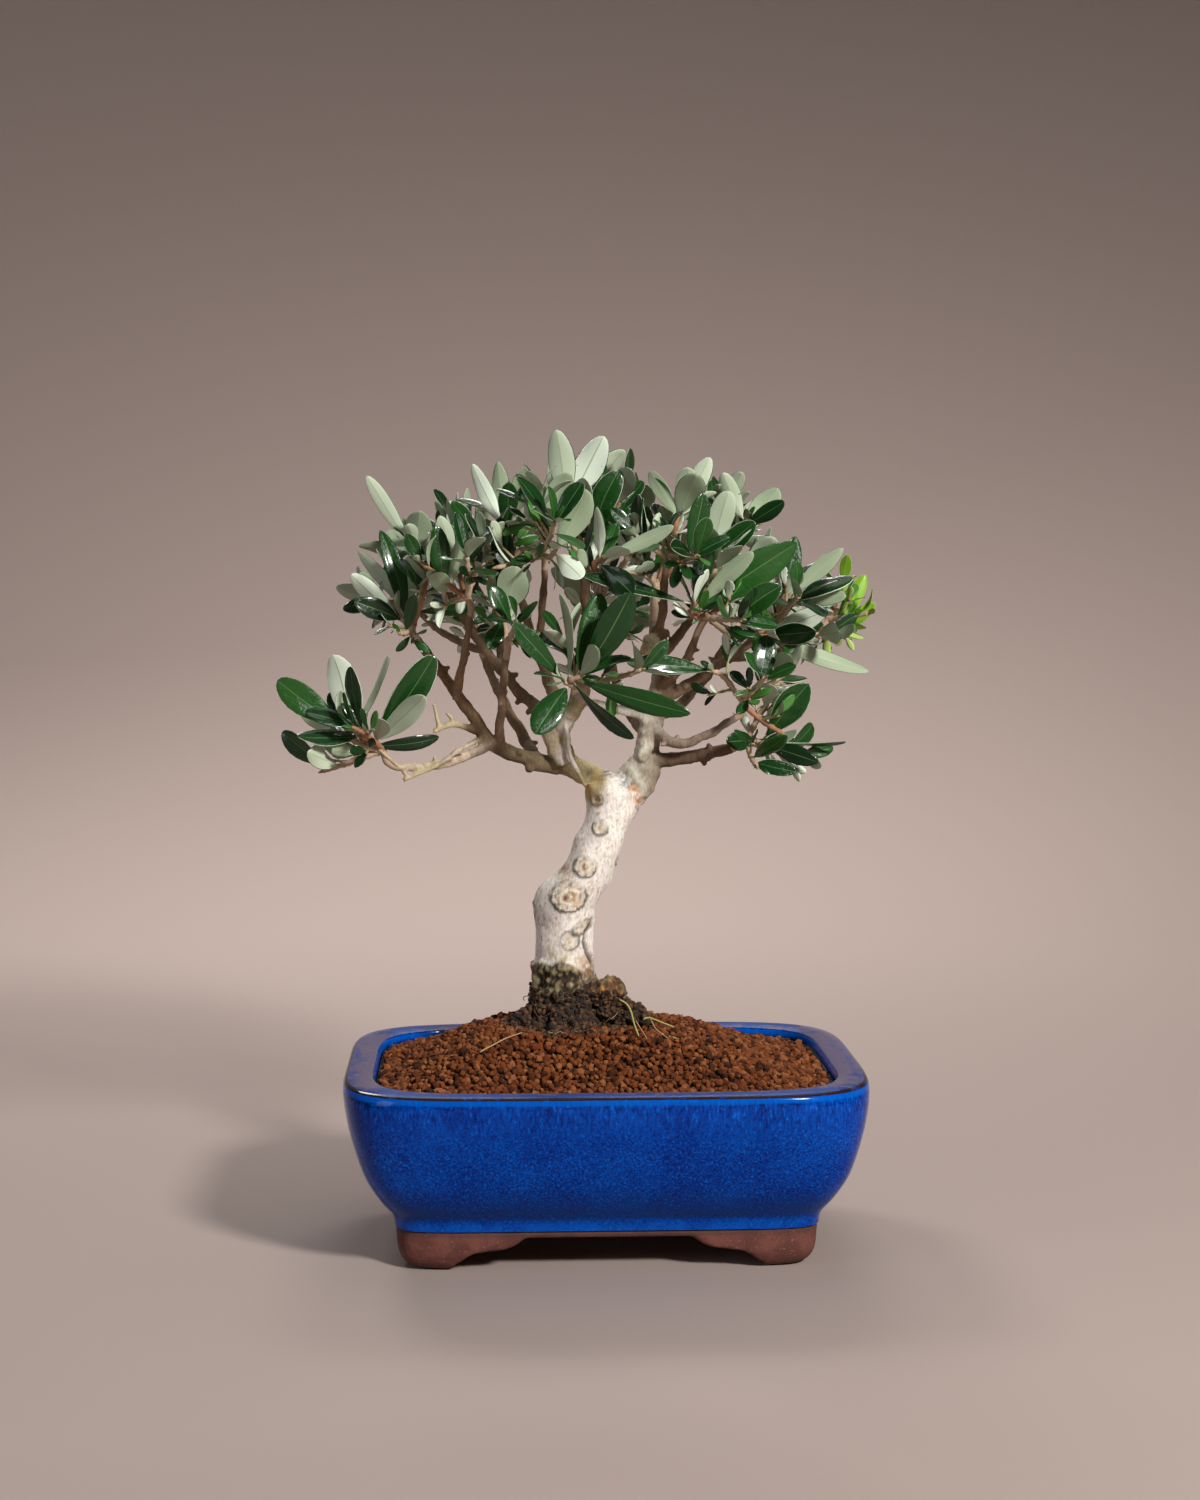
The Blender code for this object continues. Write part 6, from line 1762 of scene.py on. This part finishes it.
def add_twigs(growths):
    """Stems, twigs and shoots as round tubes with knots where the leaves stand."""
    skin = Skin()
    draw = random.Random("twigs")
    slim, swollen = KNOT_SIZES
    for growth in growths:
        stem = growth.stem
        heading = unit(stem.line[1] - stem.line[0])
        line = np.vstack([stem.line[0] - heading * STEM_SUNK, stem.line])
        radii = [stem.radii[0], *stem.radii]
        line, radii = wavering(line, radii, f"{growth.mass.name} stem", *STEM_WAVER)
        add_tube(skin, line, radii, STEM_SIDES, draw.choice(STEM_KINDS))
        for k, twig in enumerate(growth.twigs + growth.fine):
            rows = twig_line(twig)
            seed = draw.uniform(0.0, 99.0)
            reached = 0.0
            for i, row in enumerate(rows):
                if i:
                    reached += float(np.linalg.norm(row[:3] - rows[i - 1, :3]))
                knot = max(0.0, math.cos(reached / KNOT_STEP * math.tau + seed)) ** 4
                row[3] *= slim + swollen * knot
            kinds = SHOOT_KINDS if k >= len(growth.twigs) else TWIG_KINDS
            add_tube(skin, rows[:, :3], rows[:, 3], TWIG_SIDES, draw.choice(kinds))
            bud = twig.line[-1]
            way = unit(bud - twig.line[-2])
            line = np.array([bud + way * place for place in BUD_PLACES])
            add_tube(skin, line, BUD_RADII, BUD_SIDES, BUD_KIND)
    finishes = plain_finishes("twig", TWIG_TONES, 0.72)
    twigs = add_piece("twigs", skin.points, skin.faces, finishes, skin.kinds)
    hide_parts(*(mass.name for mass in MASSES))
    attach(twigs, "root")


def leaf_points(leaves, seed, blade_rows, columns):
    """Each leaf's skin: leaves x rows x columns x 3, arched, folded, twisted and waved."""
    rng = np.random.default_rng(seed)
    count = len(leaves)

    def vary(key):
        return rng.uniform(*LEAF_VARIES[key], (count, 1, 1))

    def column(key):
        return np.array([getattr(leaf, key) for leaf in leaves])[:, None, None]

    base, along, face = column("base"), column("along"), column("face")
    length, width = column("length"), column("width")
    side = np.cross(face, along)
    blade = np.array(blade_rows)
    u = np.concatenate([[0.0, 0.55 * PETIOLE], PETIOLE + (1.0 - PETIOLE) * blade])[None, :, None]
    t = np.concatenate([[0.0, 0.0], blade])[None, :, None]
    v = np.array([place for place, _ in columns])[None, None]
    skin = np.array([height for _, height in columns])[None, None]
    widest = vary("widest")
    stalk = np.minimum(STALK_HALF, 0.06 * width)
    half = 0.5 * width * np.sin(math.pi * t**widest).clip(0.0) ** vary("fullness")
    half = np.maximum(half, stalk * (1.0 - 0.72 * u))
    fold = vary("fold") * v**2 + vary("crease") * abs(v)
    curl = -vary("curl") * v**4
    wave = vary("wave") * v**2
    wave = wave * np.sin(vary("wave rate") * u + vary("wave start") + 1.4 * np.sign(v))
    thick = np.minimum(1.0, length / FULL_THICKNESS) * np.where(t > 0.0, 1.0, STALK_THICKNESS)
    up = half * (fold + curl + wave) + skin * thick * np.minimum(1.0, half / 0.9)
    twist = vary("twist") * (u - 0.5) * 2.0 + 0.10 * np.sin(math.tau * u)
    arched = length * 4.0 * u * (1.0 - u)
    arch = vary("arch") * arched
    tip_bend = vary("tip bend") * length * np.maximum(u - 0.6, 0.0) ** 2 * 6.0
    bow = vary("bow") * arched
    across_leaf = half * v * (1.0 - 0.10 * abs(v) * fold)
    aside = across_leaf * np.cos(twist) - up * np.sin(twist) + bow
    above = across_leaf * np.sin(twist) + up * np.cos(twist) + arch + tip_bend
    forward = np.maximum(u * length, STALK_START)
    return base + along * forward[..., None] + side * aside[..., None] + face * above[..., None]


def leaf_kinds(growth_name, leaf, small, draw):
    """Numbers of the materials of a leaf's top, underside, top rib, underside rib and margin."""
    young = growth_name == "right_tip" and leaf.base[0] > YOUNG_FROM
    if young:
        return (7, 9, 9, 10, 9) if small else (8, 8, 9, 9, 9)
    if small and draw.random() < YOUNG_SHOOTS:
        return (7, 6, 9, 10, 9)
    top = draw.choice(TOP_KINDS)
    under = draw.choice(UNDER_KINDS)
    return (top, under, 11, 10, draw.choice((under, top, 11)))


def leaf_finishes():
    """Plain finishes: 0-3 glossy tops, 4-6 dull undersides, 7-9 young growth, 10-11 ribs."""
    sheen = {"Specular_IOR_Level": 0.24, "Coat_Weight": 0.4, "Coat_Roughness": 0.10}
    tops = []
    for k, tone in enumerate(TOP_TONES):
        top = Finish(f"leaf_top_{k + 1}", tone, 0.30, **sheen)
        top.relief(top.noise(2.6, 4.0, 0.65), 0.75, 0.6)
        tops.append(top.made)
    unders = plain_finishes("leaf_underside", UNDERSIDE_TONES, 0.62)
    young = plain_finishes("young_leaf", YOUNG_TONES, 0.38)
    ribs = plain_finishes("leaf_rib", RIB_TONES, 0.5)
    return tops + unders + young + ribs


def add_leaves(name, chosen, seed, finishes, blade_rows, columns, strip_parts):
    """One piece of leaves, each with plain tones of its own for its two sides, rib and margin."""
    leaves = [leaf for _, leaf, _ in chosen]
    points = leaf_points(leaves, seed, blade_rows, columns)
    count, rows, columns, _ = points.shape
    draw = random.Random(seed)
    parts = np.array([leaf_kinds(mass, leaf, small, draw) for mass, leaf, small in chosen])
    index = np.arange(count * rows * columns).reshape(count, rows, columns)
    after = np.roll(index, -1, axis=2)
    quads = np.stack([index[:, :-1], index[:, 1:], after[:, 1:], after[:, :-1]], axis=-1)
    kinds = np.repeat(parts[:, None, strip_parts], rows - 1, axis=1)
    kinds[:, :PETIOLE_STRIPS] = parts[:, None, 3:4]
    faces = quads.reshape(-1, 4).tolist()
    faces += index[:, 0].tolist() + index[:, -1, ::-1].tolist()
    kinds = np.concatenate([kinds.ravel(), parts[:, 3], parts[:, 0]])
    leaves = add_piece(name, points.reshape(-1, 3), faces, finishes, kinds)
    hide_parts(*(mass.name for mass in MASSES))
    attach(leaves, "root")


def grow_crown():
    """The crown as the source grows it, then carried on to finer shoots."""
    lines = limb_lines()
    standing = [test_solid("trunk", *loft(trunk_rings()))]
    standing += [test_solid(limb.name, *loft(tube_rings(*lines[limb.name], LIMB_SIDES))) for limb in LIMBS]
    feet = []
    growths = [Growth(mass, standing, feet) for mass in MASSES]
    for growth in growths:
        growth.grow_leading(*lines[growth.mass.limb])
    for growth in growths:
        growth.grow_rest()
    for growth in growths:
        growth.grow_finer()
    return lines, growths


def add_stage():
    """A pale floor that sweeps up to a wall all round, open above."""
    rings = [(FLAT_RADIUS * share, 0.0) for share in (0.02, 0.5, 1.0)]
    for turn in np.linspace(0.0, math.pi / 2, SWEEP_ROWS)[1:]:
        rings.append((FLAT_RADIUS + SWEEP_RADIUS * math.sin(turn), SWEEP_RADIUS * (1 - math.cos(turn))))
    rings.append((FLAT_RADIUS + SWEEP_RADIUS, SWEEP_RADIUS + WALL_HEIGHT))
    turns = np.arange(STAGE_SIDES) / STAGE_SIDES * math.tau
    points, faces = [], [tuple(range(STAGE_SIDES))]
    for radius, height in rings:
        points += [(radius * math.cos(a), radius * math.sin(a), height) for a in turns]
    for k in range(len(rings) - 1):
        row, above = k * STAGE_SIDES, (k + 1) * STAGE_SIDES
        for i in range(STAGE_SIDES):
            j = (i + 1) % STAGE_SIDES
            faces.append((row + i, above + i, above + j, row + j))
    finish = Finish("pale_floor", FLOOR_TONE, 0.9).made
    return add_piece("floor", np.array(points) / MM, faces, [finish])


def add_light(name, place, aim, size, power, tone):
    data = bpy.data.lights.new(name, "AREA")
    data.shape = "DISK"
    data.size = size
    data.energy = power
    data.color = tone
    lamp = bpy.data.objects.new(name, data)
    lamp.location = place
    lamp.rotation_euler = (Vector(aim) - Vector(place)).to_track_quat("-Z", "Y").to_euler()
    bpy.context.scene.collection.objects.link(lamp)
    return lamp


def light_scene():
    """Soft studio lamps, shown without a film look so that the glaze keeps its depth of colour."""
    bpy.context.scene.view_settings.view_transform = "Standard"
    middle = POT_MIDDLE + LAMPS_MIDDLE
    lamps = []
    for name, offset, aim, size, power, tone in LAMPS:
        lamps.append(add_light(name, middle + offset, middle + aim, size, power, tone))
    world = bpy.data.worlds.new("pale_world")
    world.use_nodes = True
    world.node_tree.nodes["Background"].inputs["Color"].default_value = (*WORLD_TONE, 1.0)
    world.node_tree.nodes["Background"].inputs["Strength"].default_value = WORLD_STRENGTH
    bpy.context.scene.world = world
    return lamps


def add_camera():
    data = bpy.data.cameras.new("camera")
    data.lens = LENS
    data.sensor_width = SENSOR_WIDTH
    camera = bpy.data.objects.new("camera", data)
    camera.location = POT_MIDDLE + CAMERA_PLACE
    camera.rotation_euler = Vector(CAMERA_WAY).to_track_quat("-Z", "Y").to_euler()
    bpy.context.scene.collection.objects.link(camera)
    bpy.context.scene.camera = camera
    return camera


noise.seed_set(SWAY_SEED)
lines, growths = grow_crown()
finishes = leaf_finishes()
add_bowl()
add_clay_foot()
add_soil()
add_peat(add_bark(lines))
add_roots()
add_twigs(growths)
large, small = [], []
for growth in growths:
    large += [(growth.mass.name, leaf, False) for leaf in growth.leaves[: growth.coarse]]
    small += [(growth.mass.name, leaf, True) for leaf in growth.leaves[growth.coarse :]]
large_seed, small_seed = LEAF_SEEDS
add_leaves("leaves", large, large_seed, finishes, BLADE_ROWS, LEAF_COLUMNS, STRIP_PARTS)
add_leaves("small_leaves", small, small_seed, finishes, SMALL_ROWS, SMALL_COLUMNS, SMALL_PARTS)
add_stage()
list(light_scene())
add_camera()
